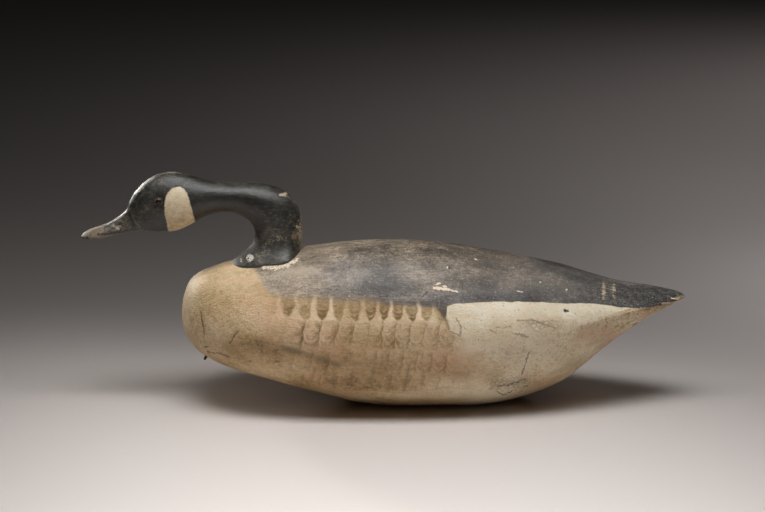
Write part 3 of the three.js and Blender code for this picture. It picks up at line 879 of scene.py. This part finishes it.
def with_wear(paint, colour, on_back):
    """Speckled wear to the wood, fine cracks filled with dirt, and specks."""
    bare = (paint.fine * 0.3 + paint.grain * 0.25 + paint.field("wear")).edge(0.45, 0.7)
    colour = paint.over(bare, colour, paint.over(paint.mottle.edge(-0.4, 0.4), *BODY_WOODS))
    dirty = paint.field("dirt") + paint.mottle * 0.35
    ridge = paint.math("ABSOLUTE", paint.noise(size=9, detail=4, rough=0.6, stretch=(2.2, 1, 1), warp=0.6))
    crazing = paint.cells(4, stretch=(1.6, 1, 1), feature="DISTANCE_TO_EDGE")
    long_cracks = ridge.edge(0.12, 0.02) * dirty.edge(0.25, 0.6)
    crack = long_cracks.or_more(crazing.edge(0.22, 0.04) * dirty.edge(0.35, 0.8))
    colour = paint.over(crack * 0.42, colour, CRACK)
    cells = paint.cells(4)
    speck = (cells + paint.fine * 0.14).edge(0.26, 0.06) * cells.beside("Color").edge(0.58, 0.68)
    return paint.over(speck * 0.5, colour, paint.over(on_back, *SPECKS))


def with_body_marks(paint, colour):
    """The putty at the neck, chips, fine lines and checks."""
    spots = paint.spots(wander=3.5, size=3.0)
    break_up = paint.fine * 0.3
    putty = paint.ragged(spots, PUTTY, 2.2, paint.fine * 0.7)
    chips = paint.ragged(spots, BODY_CHIPS, 1.1, break_up)
    colour = paint.over((putty * 0.92).or_more(chips), colour, PRIMER)
    lines = paint.ragged(spots, BODY_LINES, 1.2, break_up)
    colour = paint.over(lines * 0.55, colour, BROWN_LINE)
    checks = paint.ragged(spots, BODY_STROKES, 1.3, break_up)
    dots = paint.strokes(spots, BODY_DOTS, 0.5, LEFT * SIDE_STEP)
    return paint.over((checks * 0.65).or_more(dots), colour, DARK_CHECK)


def body_finish():
    paint = Finish("weathered_body_paint")
    paint.mottle = paint.noise(size=7, detail=5, rough=0.65)
    paint.grain = paint.noise(size=2.4, detail=3, rough=0.65, stretch=(6, 1, 1))
    paint.fine = paint.noise(size=2.2, detail=3, rough=0.7)
    paint.blush = (paint.field("side_blush") + paint.mottle * 0.22).edge(0.1, 0.8)
    paint.olive = (paint.field("side_olive") + paint.mottle * 0.22).edge(0.1, 0.8)
    texture = paint.mottle * 0.13 + paint.grain * 0.07 + paint.fine * 0.09
    texture = texture * paint.field("grit")
    ragged = paint.mottle * 0.35 + paint.fine * 0.25
    on_flank = (paint.field("white") + ragged).edge(-0.5, 0.5)
    on_back = (paint.field("back") + ragged).edge(-0.5, 0.5)
    marks = feather_marks(paint)
    colour = paint.over(on_flank, side_paint(paint, texture, *marks[:2]), flank_paint(paint, texture))
    colour = paint.over(on_back, colour, back_paint(paint))
    colour = with_feathers(paint, colour, *marks)
    colour = with_wear(paint, colour, on_back)
    paint.set("Base Color", with_body_marks(paint, colour))
    paint.set("Roughness", 0.62 + paint.mottle * 0.07 - on_back * 0.1)
    paint.bump(paint.grain * 0.5 + paint.mottle * 0.9 + paint.fine * 0.7, depth=0.28)
    return paint.material


def with_cheek(paint, colour):
    """The buff cheek, darker toward its bottom with painted shade."""
    tone = paint.field("cheek_painted_shading") + paint.mottle * 0.18 + paint.scuff * 0.06 + paint.fine * 0.13
    share = (paint.field("cheek") + paint.mottle * 0.5 + paint.fine * 0.35).edge(-0.6, 0.7)
    return paint.over(share, colour, paint.ramp(tone, CHEEK_BUFF))


def with_head_marks(paint, colour):
    """The worn bill tip and bill edge on both sides; chips, plug and nail on the left."""
    both = paint.spots(wander=4.0, size=2.5, sided=False)
    left = paint.spots(wander=4.0, size=2.5)
    steady = paint.spots(wander=0.9, size=2.0, sided=False)
    tip = paint.strokes(both, TIP_WEAR, 2.4) + paint.mottle * 0.3 + paint.fine * 0.15
    tip_tone = 0.42 + paint.mottle * 0.2 + paint.scuff * 0.14
    colour = paint.over(tip.edge(0.42, 0.62), colour, paint.ramp(tip_tone, WORN_TIP))
    colour = paint.over(paint.strokes(steady, BILL_LINES, 0.6) * 0.7, colour, BILL_EDGE)
    colour = paint.over(paint.ragged(left, HEAD_CHIPS, 1.0, paint.fine * 0.32), colour, HEAD_PRIMER)
    plug = paint.nearness(left, PLUG, 0.6, LEFT * SIDE_STEP)
    colour = paint.over(plug * 0.85, colour, PLUG_WOOD)
    ring = paint.nearness(left, NAIL_RING, 0.7, LEFT * SIDE_STEP)
    colour = paint.over(ring * paint.fine.edge(-0.9, 0.0), colour, NAIL_PAINT)
    # The mouth line and the nostril are painted near black: painted shade in their grooves
    groove_shade = paint.strokes(steady, MOUTH_LINES, 0.4)
    return paint.over(groove_shade.or_more(paint.strokes(steady, NOSTRIL_LINE, 0.8)), colour, GROOVE_PAINTED_SHADE)


def head_finish():
    paint = Finish("worn_black_head_paint")
    paint.mottle = paint.noise(size=6, detail=5, rough=0.62)
    paint.fine = paint.noise(size=1.5, detail=3, rough=0.65)
    paint.scuff = paint.noise(size=2.2, detail=3, rough=0.65, stretch=(3, 3, 1))
    # The black is lightened by dust and by painted sheen on top, and darkened underneath by painted shade
    dust_sheen_and_shade = paint.field("dust_sheen_and_shade") + paint.mottle * 0.25 + paint.scuff * 0.25 + paint.fine * 0.18
    colour = with_cheek(paint, paint.ramp(dust_sheen_and_shade, BLACK))
    bare = (paint.fine * 0.32 + paint.mottle * 0.26 + paint.field("wear")).edge(0.45, 0.62)
    colour = paint.over(bare, colour, paint.over(paint.scuff.edge(-0.5, 0.5), *HEAD_WOODS))
    colour = with_head_marks(paint, colour)
    rim = paint.field("eye_distance").edge(5.9, 5.0) * (paint.mottle + paint.fine * 0.5).edge(-0.7, 0.7)
    colour = paint.over(rim, colour, EYE_RING)
    # Painted shadow: the neck's foot is darkened within about 1.6 mm of the back
    seam = (paint.field("seam") + paint.mottle * 0.4).edge(1.6, 0.6)
    paint.set("Base Color", paint.over(seam * 0.75, colour, SEAM_PAINTED_SHADOW))
    dull = paint.mottle * 0.05 + paint.field("dust_sheen_and_shade") * 0.2 + bare * 0.3 + paint.field("dullness")
    paint.set("Roughness", 0.38 + dull)
    paint.set("Specular IOR Level", 0.75)
    paint.bump(paint.mottle * 0.8 + paint.fine * 0.3 - bare * 0.6, depth=0.16)
    return paint.material


def eye_finish():
    paint = Finish("brown_glass_bead")
    depth = paint.noise(size=2.2, detail=3, rough=0.6).edge(-0.8, 1.0)
    paint.set("Base Color", paint.over(depth, *EYE_BROWNS))
    paint.set("Roughness", 0.18)
    return paint.material


def iron_finish(name, rusts):
    paint = Finish(name)
    tone = (paint.noise(size=1.6, detail=4, rough=0.65) + paint.noise(size=0.5) * 0.5).edge(-1.1, 1.1)
    paint.set("Base Color", paint.ramp(tone, rusts))
    paint.set("Roughness", 0.62 + tone * 0.2)
    paint.set("Metallic", 0.35)
    paint.bump(paint.noise(size=0.6, detail=3, rough=0.6), depth=0.07)
    return paint.material


# The pieces
BREADTH = [250, 300, 340, 400, 480, 540, 590, 690]  # pixels across, for the back's tones and hues
BACK_TONE = [0.88, 0.87, 0.79, 0.68, 0.62, 0.46, 0.4, 0.36]
BACK_BLUE = [0.1, 0.2, 0.5, 0.5, 0.4, 0.5, 0.6, 0.6]
BACK_EDGE_AT = [250, 265, 285, 380, 440, 447, 700]
BACK_EDGE_SOFT = [5, 6, 11, 8, 3, 0.9, 0.9]
WHITE_EDGE_AT = [446, 455, 470, 500, 560, 590, 630]
WHITE_EDGE_SOFT = [1.0, 2.0, 9, 14, 10, 3, 1.6]

# Soft patches: middle x and y, half sizes, strength
SIDE_TONES = [
    (225, 276, 50, 11, 0.06), (268, 318, 20, 18, 0.1), (395, 326, 26, 9, 0.26), (350, 345, 45, 14, 0.13),
    (262, 346, 22, 6, -0.1), (300, 352, 25, 6, -0.16), (335, 359, 22, 6, -0.1), (380, 368, 80, 12, 0.07),
    (215, 330, 35, 22, 0.13), (480, 390, 60, 14, 0.42), (430, 396, 120, 8, 0.12), (560, 350, 50, 28, 0.5),
    (500, 355, 35, 22, 0.4), (610, 330, 40, 18, 0.32), (645, 315, 35, 8, 0.24), (232, 266, 14, 4, 0.12),
    # the patch at 190, 285 lightens the breast's front edge: a painted highlight
    (300, 332, 30, 14, 0.14), (190, 285, 12, 25, 0.12), (228, 303, 30, 14, 0.05), (330, 384, 60, 7, -0.06),
    (430, 345, 40, 20, 0.16), (282, 320, 16, 8, 0.12), (432, 324, 7, 12, 0.2), (461, 378, 14, 7, -0.12),
    (462, 352, 16, 13, 0.16), (482, 395, 20, 7, 0.14), (330, 312, 60, 5, -0.03), (200, 345, 25, 14, 0.08),
]
WHITE_TONES = [
    (480, 308, 60, 8, 0.14), (600, 308, 30, 5, 0.1), (500, 335, 45, 9, -0.14), (458, 325, 6, 10, -0.1),
    (560, 325, 30, 7, -0.14), (530, 320, 25, 6, -0.06),
]
SIDE_BLUSHES = [
    (262, 308, 24, 24, 0.6), (395, 325, 30, 12, 0.5), (350, 385, 60, 10, 0.3), (300, 325, 25, 12, 0.4),
    (235, 267, 12, 4, 0.7), (545, 385, 24, 9, 0.6), (456, 365, 30, 14, 0.75), (474, 340, 9, 6, 0.6),
    (605, 334, 36, 14, 0.6), (650, 313, 32, 8, 0.6), (350, 338, 60, 18, 0.45), (500, 350, 40, 20, 0.2),
]
BACK_TONES = [
    (450, 248, 75, 7, -0.12), (350, 240, 42, 4, 0.12), (420, 266, 50, 12, 0.08), (500, 276, 50, 9, 0.08),
    (300, 272, 40, 18, 0.04), (640, 288, 40, 12, 0.1), (415, 303.5, 30, 3.0, -0.3),
    (475, 297, 50, 5, -0.08), (443, 314, 7, 11, -0.32), (650, 290, 30, 5, -0.1), (585, 275, 20, 8, -0.1),
    (340, 292, 50, 6, -0.08), (300, 272, 14, 10, 0.06),
]
GRIT = [  # where the mottling is stronger or weaker
    (370, 275, 60, 14, -0.3), (520, 288, 60, 9, -0.6), (450, 250, 100, 9, 0.8), (645, 290, 45, 14, 1.6),
    (400, 388, 90, 10, 0.5), (520, 365, 60, 20, 0.8), (225, 300, 35, 30, -0.1), (610, 327, 45, 12, 1.4),
    (350, 340, 80, 16, 0.4), (290, 275, 30, 16, -0.25), (645, 315, 30, 6, 1.0), (520, 325, 60, 10, 0.4),
    (620, 322, 45, 14, 1.8), (560, 350, 40, 20, 0.5),
]
FLECKS = [(278, 274, 26, 22, 0.95), (330, 262, 40, 14, 0.3), (575, 270, 40, 12, 0.35)]
BACK_BLUES = [
    (450, 250, 90, 9, -0.5), (480, 296, 60, 8, 0.4), (330, 247, 40, 9, -0.3), (415, 303, 30, 4, 0.5),
    (365, 275, 45, 14, 0.3),
]
BODY_WEAR = [
    (603.5, 291, 3, 14, 0.68), (614, 291, 3, 13, 0.66), (609, 286, 5, 9, 0.22), (652, 308.5, 14, 2.2, 0.8),
    (668, 303.6, 12, 2.2, 0.9), (681, 298, 6, 4, 0.85), (560, 262, 60, 6, 0.12), (310, 262, 16, 22, 0.1),
    (635, 311, 10, 1.6, 0.4), (664, 297, 13, 1.2, 0.42), (655, 291, 14, 1.0, 0.3), (430, 246, 90, 5, 0.1),
    (375, 246, 35, 5, 0.14),
]
BODY_DIRT = [
    (300, 352, 60, 9, 0.35), (225, 350, 45, 12, 0.35), (515, 385, 36, 10, 0.75), (540, 324, 26, 7, 0.75),
    (505, 355, 34, 22, 0.5), (204, 335, 20, 16, 0.2), (350, 385, 90, 9, 0.3), (560, 350, 30, 20, 0.4),
    (500, 328, 16, 4, 0.35),
]
# Dust, plus painted sheen along the top of the crown and neck and painted shade under face and neck
HEAD_DUST_SHEEN_AND_SHADE = [
    (112, 226, 26, 14, 0.58), (137, 215, 7, 10, 0.14), (262, 259, 34, 9, 0.42), (298, 225, 9, 34, 0.22),
    (160, 176, 22, 6, 0.3), (270, 238, 16, 14, 0.3), (235, 184, 75, 7, 0.2), (153, 184, 14, 6, 0.2),
    (146, 203, 20, 20, 0.16), (160, 229, 16, 6, -0.16), (215, 213, 40, 7, -0.1), (272, 222, 16, 26, 0.05),
]
HEAD_DULLNESS = [(246, 254, 16, 16, 0.35), (92, 233, 12, 7, 0.25)]
HEAD_WEAR = [
    (302.5, 205, 4.5, 16, 0.58), (303, 240, 4.5, 20, 0.64), (284, 194.5, 6, 3.5, 0.5),
    (176, 172, 22, 2.6, 0.55), (250, 180.5, 16, 2, 0.6), (277, 237, 9, 8, 0.36), (138, 217, 5, 8, 0.22),
    (117, 226, 6, 6, 0.3), (153, 182, 13, 5, 0.3), (296, 200, 6, 7, 0.42), (297, 232, 5, 12, 0.45),
    (250, 262, 16, 3, 0.25), (283, 181.5, 10, 2.2, 0.7), (218, 178, 20, 2, 0.4), (292, 188, 8, 4, 0.5),
    (262, 222, 14, 16, 0.12),
]


# What each point of a piece keeps for its paint: a level, or levels over BREADTH, soft patches, and
# noises, each with its strength, its size in mm, its seed and how far it is drawn out along the piece
BODY_FIELDS = {
    "side_tone": (0.53, SIDE_TONES, [(0.12, 24, 7, 1), (0.09, 60, 10, 1), (0.08, 12, 17, 2.5)]),
    "white_tone": (0.82, WHITE_TONES, [(0.1, 14, 20, 1)]),
    "grit": (1, GRIT, []),
    "flecks": (0, FLECKS, []),
    "side_blush": (0, SIDE_BLUSHES, [(0.3, 26, 18, 1), (0.3, 9, 22, 2)]),
    "side_olive": (0.15, [], [(0.4, 26, 19, 1.6), (0.3, 8, 23, 2)]),
    "back_tone": (BACK_TONE, BACK_TONES, [(0.14, 40, 8, 1), (0.168, 14, 9, 2)]),
    "back_blue": (BACK_BLUE, BACK_BLUES, []),
    "wear": (0, BODY_WEAR, []),
    "dirt": (0, BODY_DIRT, []),
}
HEAD_FIELDS = {
    "dust_sheen_and_shade": (0.19, HEAD_DUST_SHEEN_AND_SHADE, [(0.1, 16, 16, 1)]),
    "wear": (0, HEAD_WEAR, []),
    "dullness": (0, HEAD_DULLNESS, []),
}
BODY_TOOL_MARKS = [(0.35, 70, 3, 1), (0.22, 26, 4, 1), (0.1, 9, 5, 1), (0.14, 13, 6, 4)]
HEAD_TOOL_MARKS = [(0.2, 24, 13, 1), (0.1, 8, 14, 1), (0.05, 3, 15, 1)]
FEATHER_RUB = [(0.9, 22, 24, 1)]
RUB_LEVEL = 0.85  # the strength that rubbing leaves, and its least and most
RUB_RANGE = (0.15, 1.3)
FIRST_ROW_RUB = 0.3  # the first row is rubbed this much as the rows below

# Furrows in the left side of the body: strokes, depth in mm (below zero for a ridge), softness in pixels
BODY_FURROWS = [(BODY_STROKES, 0.6, 0.8), (BODY_CHIPS, 0.4, 0.6), (BODY_DOTS, 0.8, 0.8), (PUTTY, -0.7, 1.0)]
HEAD_FURROWS = [(NOSTRIL_LINE, 1.7, 1.3), (MOUTH_LINES, 0.45, 0.7)]  # on both sides
HEAD_LEFT_FURROWS = [(HEAD_CHIPS, 0.35, 0.6)]


def noises(points, layers):
    """Noises laid together."""
    return sum(strength * noise(points / (drawn_out, 1, 1), size * MM, seed)
               for strength, size, seed, drawn_out in layers)


def store_fields(piece, points, spots, fields):
    for name, (level, table, layers) in fields.items():
        base = np.interp(spots[:, 0], BREADTH, level) if isinstance(level, list) else level
        store(piece, name, base + patches(spots, table) + noises(points, layers))


def furrows(spots, rows):
    """How far strokes sink into the wood, in millimetres."""
    total = np.zeros(len(spots))
    for table, depth, soft in rows:
        away = np.min([stroke_distance(spots, stroke) - stroke[4] for stroke in table], axis=0)
        total += depth * np.exp(-((np.maximum(away, 0) / soft) ** 2))
    return total


def smudged(spots):
    """Soft dark marks, strongest where strokes meet."""
    total = np.zeros(len(spots))
    for *stroke, width, strength in SMUDGES:
        total = np.maximum(total, strength * np.exp(-((stroke_distance(spots, stroke) / (width + 1)) ** 2)))
    return total


def store_feathers(piece, points, spots):
    """Where each point lies in the rows of feathers, and how strong their marks are there."""
    x, y = spots.T
    tops = np.interp(x, *zip(*FEATHER_TOPS))
    tips = np.interp(x, *zip(*FEATHER_TIPS))
    lower_rows = 1 + np.interp(y - tips, LOWER_ROWS, range(len(LOWER_ROWS)))
    rows = np.where(y < tips, np.maximum((y - tops) / (tips - tops), -1), lower_rows)
    reach = np.interp(x, FIRST_ROW_REACH, [0, 1, 1, 0])
    lower = np.interp(rows, [1, 2], [0, 1]) * np.interp(x, LOWER_REACH, [0, 1, 1, 0])
    strength = np.interp(rows, FEATHER_FALL, FEATHER_STRENGTH)
    strength *= np.where(rows < 1, reach, reach * (1 - lower) + lower * lower)
    rubbed = np.clip(RUB_LEVEL + noises(points, FEATHER_RUB), *RUB_RANGE)
    first_rubbed = 1 - FIRST_ROW_RUB + FIRST_ROW_RUB * rubbed
    store(piece, "feather_across", np.interp(x, SPIRES, range(len(SPIRES))))
    store(piece, "feather_down", np.maximum(rows, FIRST_ROW_TOP))
    store(piece, "feather_light", np.where(rows < 1, np.interp(x, SPIRES, SPIRE_STRENGTH), LOWER_LIGHT))
    store(piece, "feather_dark", np.where(rows < 1, np.interp(x, TONGUES, TONGUE_STRENGTH), 1))
    store(piece, "feather_strength", strength * np.where(rows < 1, first_rubbed, rubbed))


PAINT_WANDER = 0.9  # how far painted edges stray, in pixels
NOTCH_WANDER = 0.4
NOTCH_SOFT = 1.2
CHEEK_WANDER = 0.35
CHEEK_SOFT = 1.1


def dress_body(piece):
    points = points_of(piece)
    spots = store_place(piece, points)
    wander = np.column_stack([noise(points, 11 * MM, 1), noise(points, 9 * MM, 2)])
    drawn = spots + wander * PAINT_WANDER
    back_soft = np.interp(spots[:, 0], BACK_EDGE_AT, BACK_EDGE_SOFT)
    white_soft = np.interp(spots[:, 0], WHITE_EDGE_AT, WHITE_EDGE_SOFT)
    back = outline_distance(drawn, BACK_OUTLINE) / back_soft
    notch = outline_distance(spots + wander * NOTCH_WANDER, NOTCH_OUTLINE) / NOTCH_SOFT
    store(piece, "back", np.maximum(back, notch))
    store(piece, "white", outline_distance(drawn, WHITE_OUTLINE) / white_soft)
    store(piece, "smudge", smudged(spots))
    store_feathers(piece, points, spots)
    store_fields(piece, points, spots, BODY_FIELDS)
    relief = noises(points, BODY_TOOL_MARKS) - furrows(spots, BODY_FURROWS) * (points[:, 1] < 0)
    points += normals_of(piece) * relief[:, None] * MM
    points[:, 2] = np.maximum(points[:, 2], 0)
    move_points(piece, points)
    piece.data.materials.append(body_finish())


def turned_axis(node, towards):
    """The top, the way out, the radius and the length of a CAD node that is turned about an axis."""
    corners = np.unique(np.round(points_of(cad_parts[node]), 6), axis=0)
    middle = corners.mean(axis=0)
    sizes, ways = np.linalg.eigh(np.cov((corners - middle).T))
    axis = ways[:, np.argmax(np.abs(sizes - np.median(sizes)))]
    axis = axis * np.sign(axis @ towards)
    along = (corners - middle) @ axis
    radius = np.linalg.norm(corners - middle - along[:, None] * axis, axis=1).max()
    return middle + axis * along.max(), axis, radius, along.max() - along.min()


EYES = {name: turned_axis("eye_" + name, (0, side, 0)) for name, side in (("left", LEFT), ("right", RIGHT))}
NAILS = {name: turned_axis("neck_nail_" + name, (0, 0, 1)) for name in ("left", "front", "right")}
BILL_STEP = 0.45  # mm that the bill lies lower than the face
BILL_STEP_SOFT = 1.2  # pixels over which it falls, and over which it rises again
BILL_STEP_FADE = 14
EYE_DENT = (0.45, 4.7, 0.9)  # depth, distance and width in mm
NAIL_DENT = (0.5, 0, 2.2)
SEAM_DENT = (0.8, 0, 1.3)
# Painted shade on the cheek: lighter at its top and darker down toward the chin
CHEEK_SHADING_AT = [187, 200, 215, 231]  # pixels down
CHEEK_PAINTED_SHADING = [0.93, 0.84, 0.67, 0.47]


def nearest(points, turned_pieces):
    """The distance in millimetres from the top of the nearest of some turned pieces."""
    tops = [top for top, *_ in turned_pieces.values()]
    return np.min([np.linalg.norm(points - top, axis=1) for top in tops], axis=0) / MM


def dent(away, depth, distance, width):
    return depth * np.exp(-(((away - distance) / width) ** 2))


def dress_head(piece):
    points = points_of(piece)
    spots = store_place(piece, points)
    wander = np.column_stack([noise(points, 6 * MM, 11), noise(points, 5 * MM, 12)])
    seam = (points[:, 2] - back_height(points[:, 0], points[:, 1])) / MM
    eyes = nearest(points, EYES)
    cheek = outline_distance(spots + wander * CHEEK_WANDER, rounded(CHEEK_OUTLINE))
    store(piece, "cheek", cheek / CHEEK_SOFT)
    store(piece, "cheek_painted_shading", np.interp(spots[:, 1], CHEEK_SHADING_AT, CHEEK_PAINTED_SHADING))
    store(piece, "seam", seam)
    store(piece, "eye_distance", eyes)
    store_fields(piece, points, spots, HEAD_FIELDS)

    relief = noises(points, HEAD_TOOL_MARKS) - dent(eyes, *EYE_DENT)
    relief -= dent(nearest(points, NAILS), *NAIL_DENT) + dent(np.maximum(seam, 0), *SEAM_DENT)
    bill = outline_distance(spots, BILL_OUTLINE)
    fade = np.exp(-np.maximum(bill, 0) / BILL_STEP_FADE)
    relief -= BILL_STEP * np.clip(bill / BILL_STEP_SOFT, 0, 1) * fade
    relief -= furrows(spots, HEAD_FURROWS) + furrows(spots, HEAD_LEFT_FURROWS) * (points[:, 1] < 0)
    points += normals_of(piece) * relief[:, None] * MM
    move_points(piece, points)
    piece.data.materials.append(head_finish())


def turned(name, profile, top, axis, sides):
    """A piece turned about an axis, from pairs of radius and height below the top, lowest first."""
    side = np.cross(axis, (1.0, 0, 0) if abs(axis[0]) < 0.9 else (0, 1.0, 0))
    side /= np.linalg.norm(side)
    other = np.cross(axis, side)
    turn = 2 * np.pi * np.arange(sides) / sides
    around = np.cos(turn)[:, None] * side + np.sin(turn)[:, None] * other
    rings = np.array([top + axis * height + radius * around for radius, height in profile[1:-1]])
    ends = [top + axis * profile[index][1] for index in (0, -1)]
    return faced_out(skin(name, rings, *ends))


EYE_DOME = 0.45  # the height of the dome and the width of the back, as shares of the radius
EYE_BACK = 0.7
EYE_RIM = 0.55  # where the rim starts, as a share of the depth
EYE_STEPS = 9
EYE_SIDES = 32


def make_eye(name):
    top, axis, radius, depth = EYES[name]
    turns = np.linspace(0, np.pi / 2, EYE_STEPS)
    front = [(radius * math.cos(turn), EYE_DOME * radius * (math.sin(turn) - 1)) for turn in turns]
    profile = [(0, -depth), (EYE_BACK * radius, -depth), (radius, -EYE_RIM * depth), *front]
    return turned("eye_bead_" + name, profile, top, axis, EYE_SIDES)


NAIL_SHANK = 0.58  # the shank's radius, as a share of the head's
NAIL_SIDES = 24
NAIL_POINT = [(0, 0), (0.6, 2.5), (1, 5)]  # radius and height above the point, in shank radii
NAIL_HEAD = [  # radius and height, in head radii
    (NAIL_SHANK, -0.9), (0.9, -0.62), (1, -0.4), (0.97, -0.2), (0.75, -0.05), (0.4, -0.02), (0, 0),
]


def make_nail(name):
    top, axis, radius, length = NAILS[name]
    shank = NAIL_SHANK * radius
    profile = [(wide * shank, high * shank - length) for wide, high in NAIL_POINT]
    profile += [(wide * radius, high * radius) for wide, high in NAIL_HEAD]
    return turned("nail_" + name, profile, top, axis, NAIL_SIDES)


STAPLE_WIRE = 2.8 * MM
STAPLE_SPAN = 13 * MM
STAPLE_REACH = 9 * MM
STAPLE_DEPTH = 12 * MM
STAPLE_RIB = 1.72  # where on the keel it stands
STAPLE_NUDGE = 0.02  # ribs to each side, to find the keel's direction there
STAPLE_BEND_STEPS = 25
STAPLE_LEG_STEPS = 17
STAPLE_SIDES = 20
STAPLE_RUST = 0.1  # how uneven the wire is, as a share of its radius


def make_staple():
    places = (STAPLE_RIB - STAPLE_NUDGE, STAPLE_RIB, STAPLE_RIB + STAPLE_NUDGE)
    before, at, after = (body_sections(np.array(place))[2] for place in places)
    along = (after - before) / np.linalg.norm(after - before)
    out = np.array([along[2], 0, -along[0]])
    out = out if out[2] < 0 else -out
    across = np.array([0, 1.0, 0])
    radius = STAPLE_SPAN / 2
    shoulder = STAPLE_REACH - STAPLE_WIRE / 2 - radius
    turns = np.linspace(np.pi, 0, STAPLE_BEND_STEPS)
    bend = [(radius * math.cos(turn), shoulder + radius * math.sin(turn)) for turn in turns]
    legs = np.linspace(-STAPLE_DEPTH, shoulder, STAPLE_LEG_STEPS)[:-1]
    line = [(-radius, height) for height in legs] + bend + [(radius, height) for height in legs[::-1]]
    line = np.array([at + across * a + out * b for a, b in line])
    ways = np.gradient(line, axis=0)
    ways /= np.linalg.norm(ways, axis=1)[:, None]
    flat = np.cross(across, out)
    turn = 2 * np.pi * np.arange(STAPLE_SIDES) / STAPLE_SIDES
    rings = []
    for point, way in zip(line, ways):
        side = np.cross(way, flat)
        rings.append(point + STAPLE_WIRE / 2 * (np.cos(turn)[:, None] * side + np.sin(turn)[:, None] * flat))
    rings = np.array(rings)
    rusted = noise(rings.reshape(-1, 3), 1.3 * MM, 21).reshape(rings.shape[:2])
    rings += (rings - line[:, None]) * (STAPLE_RUST * rusted)[..., None]
    return faced_out(skin("line_tie_staple_rusted", rings, line[0], line[-1]))


def fit(piece, node):
    """Puts a piece in the frame in place of a CAD node."""
    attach(piece, "root")
    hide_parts(node)


make_camera()
make_stage()
for row in LAMPS:
    lamp(*row)

body = make_body()
dress_body(body)
fit(body, "body")

head = make_head()
dress_head(head)
fit(head, "head_and_neck")

bead = eye_finish()
for name in EYES:
    eye = make_eye(name)
    eye.data.materials.append(bead)
    fit(eye, "eye_" + name)

nail_iron = iron_finish("rusted_nail_iron", NAIL_IRON)
for name in NAILS:
    nail = make_nail(name)
    nail.data.materials.append(nail_iron)
    fit(nail, "neck_nail_" + name)

staple = make_staple()
staple.data.materials.append(iron_finish("rusted_staple_iron", STAPLE_IRON))
fit(staple, "line_tie_staple")
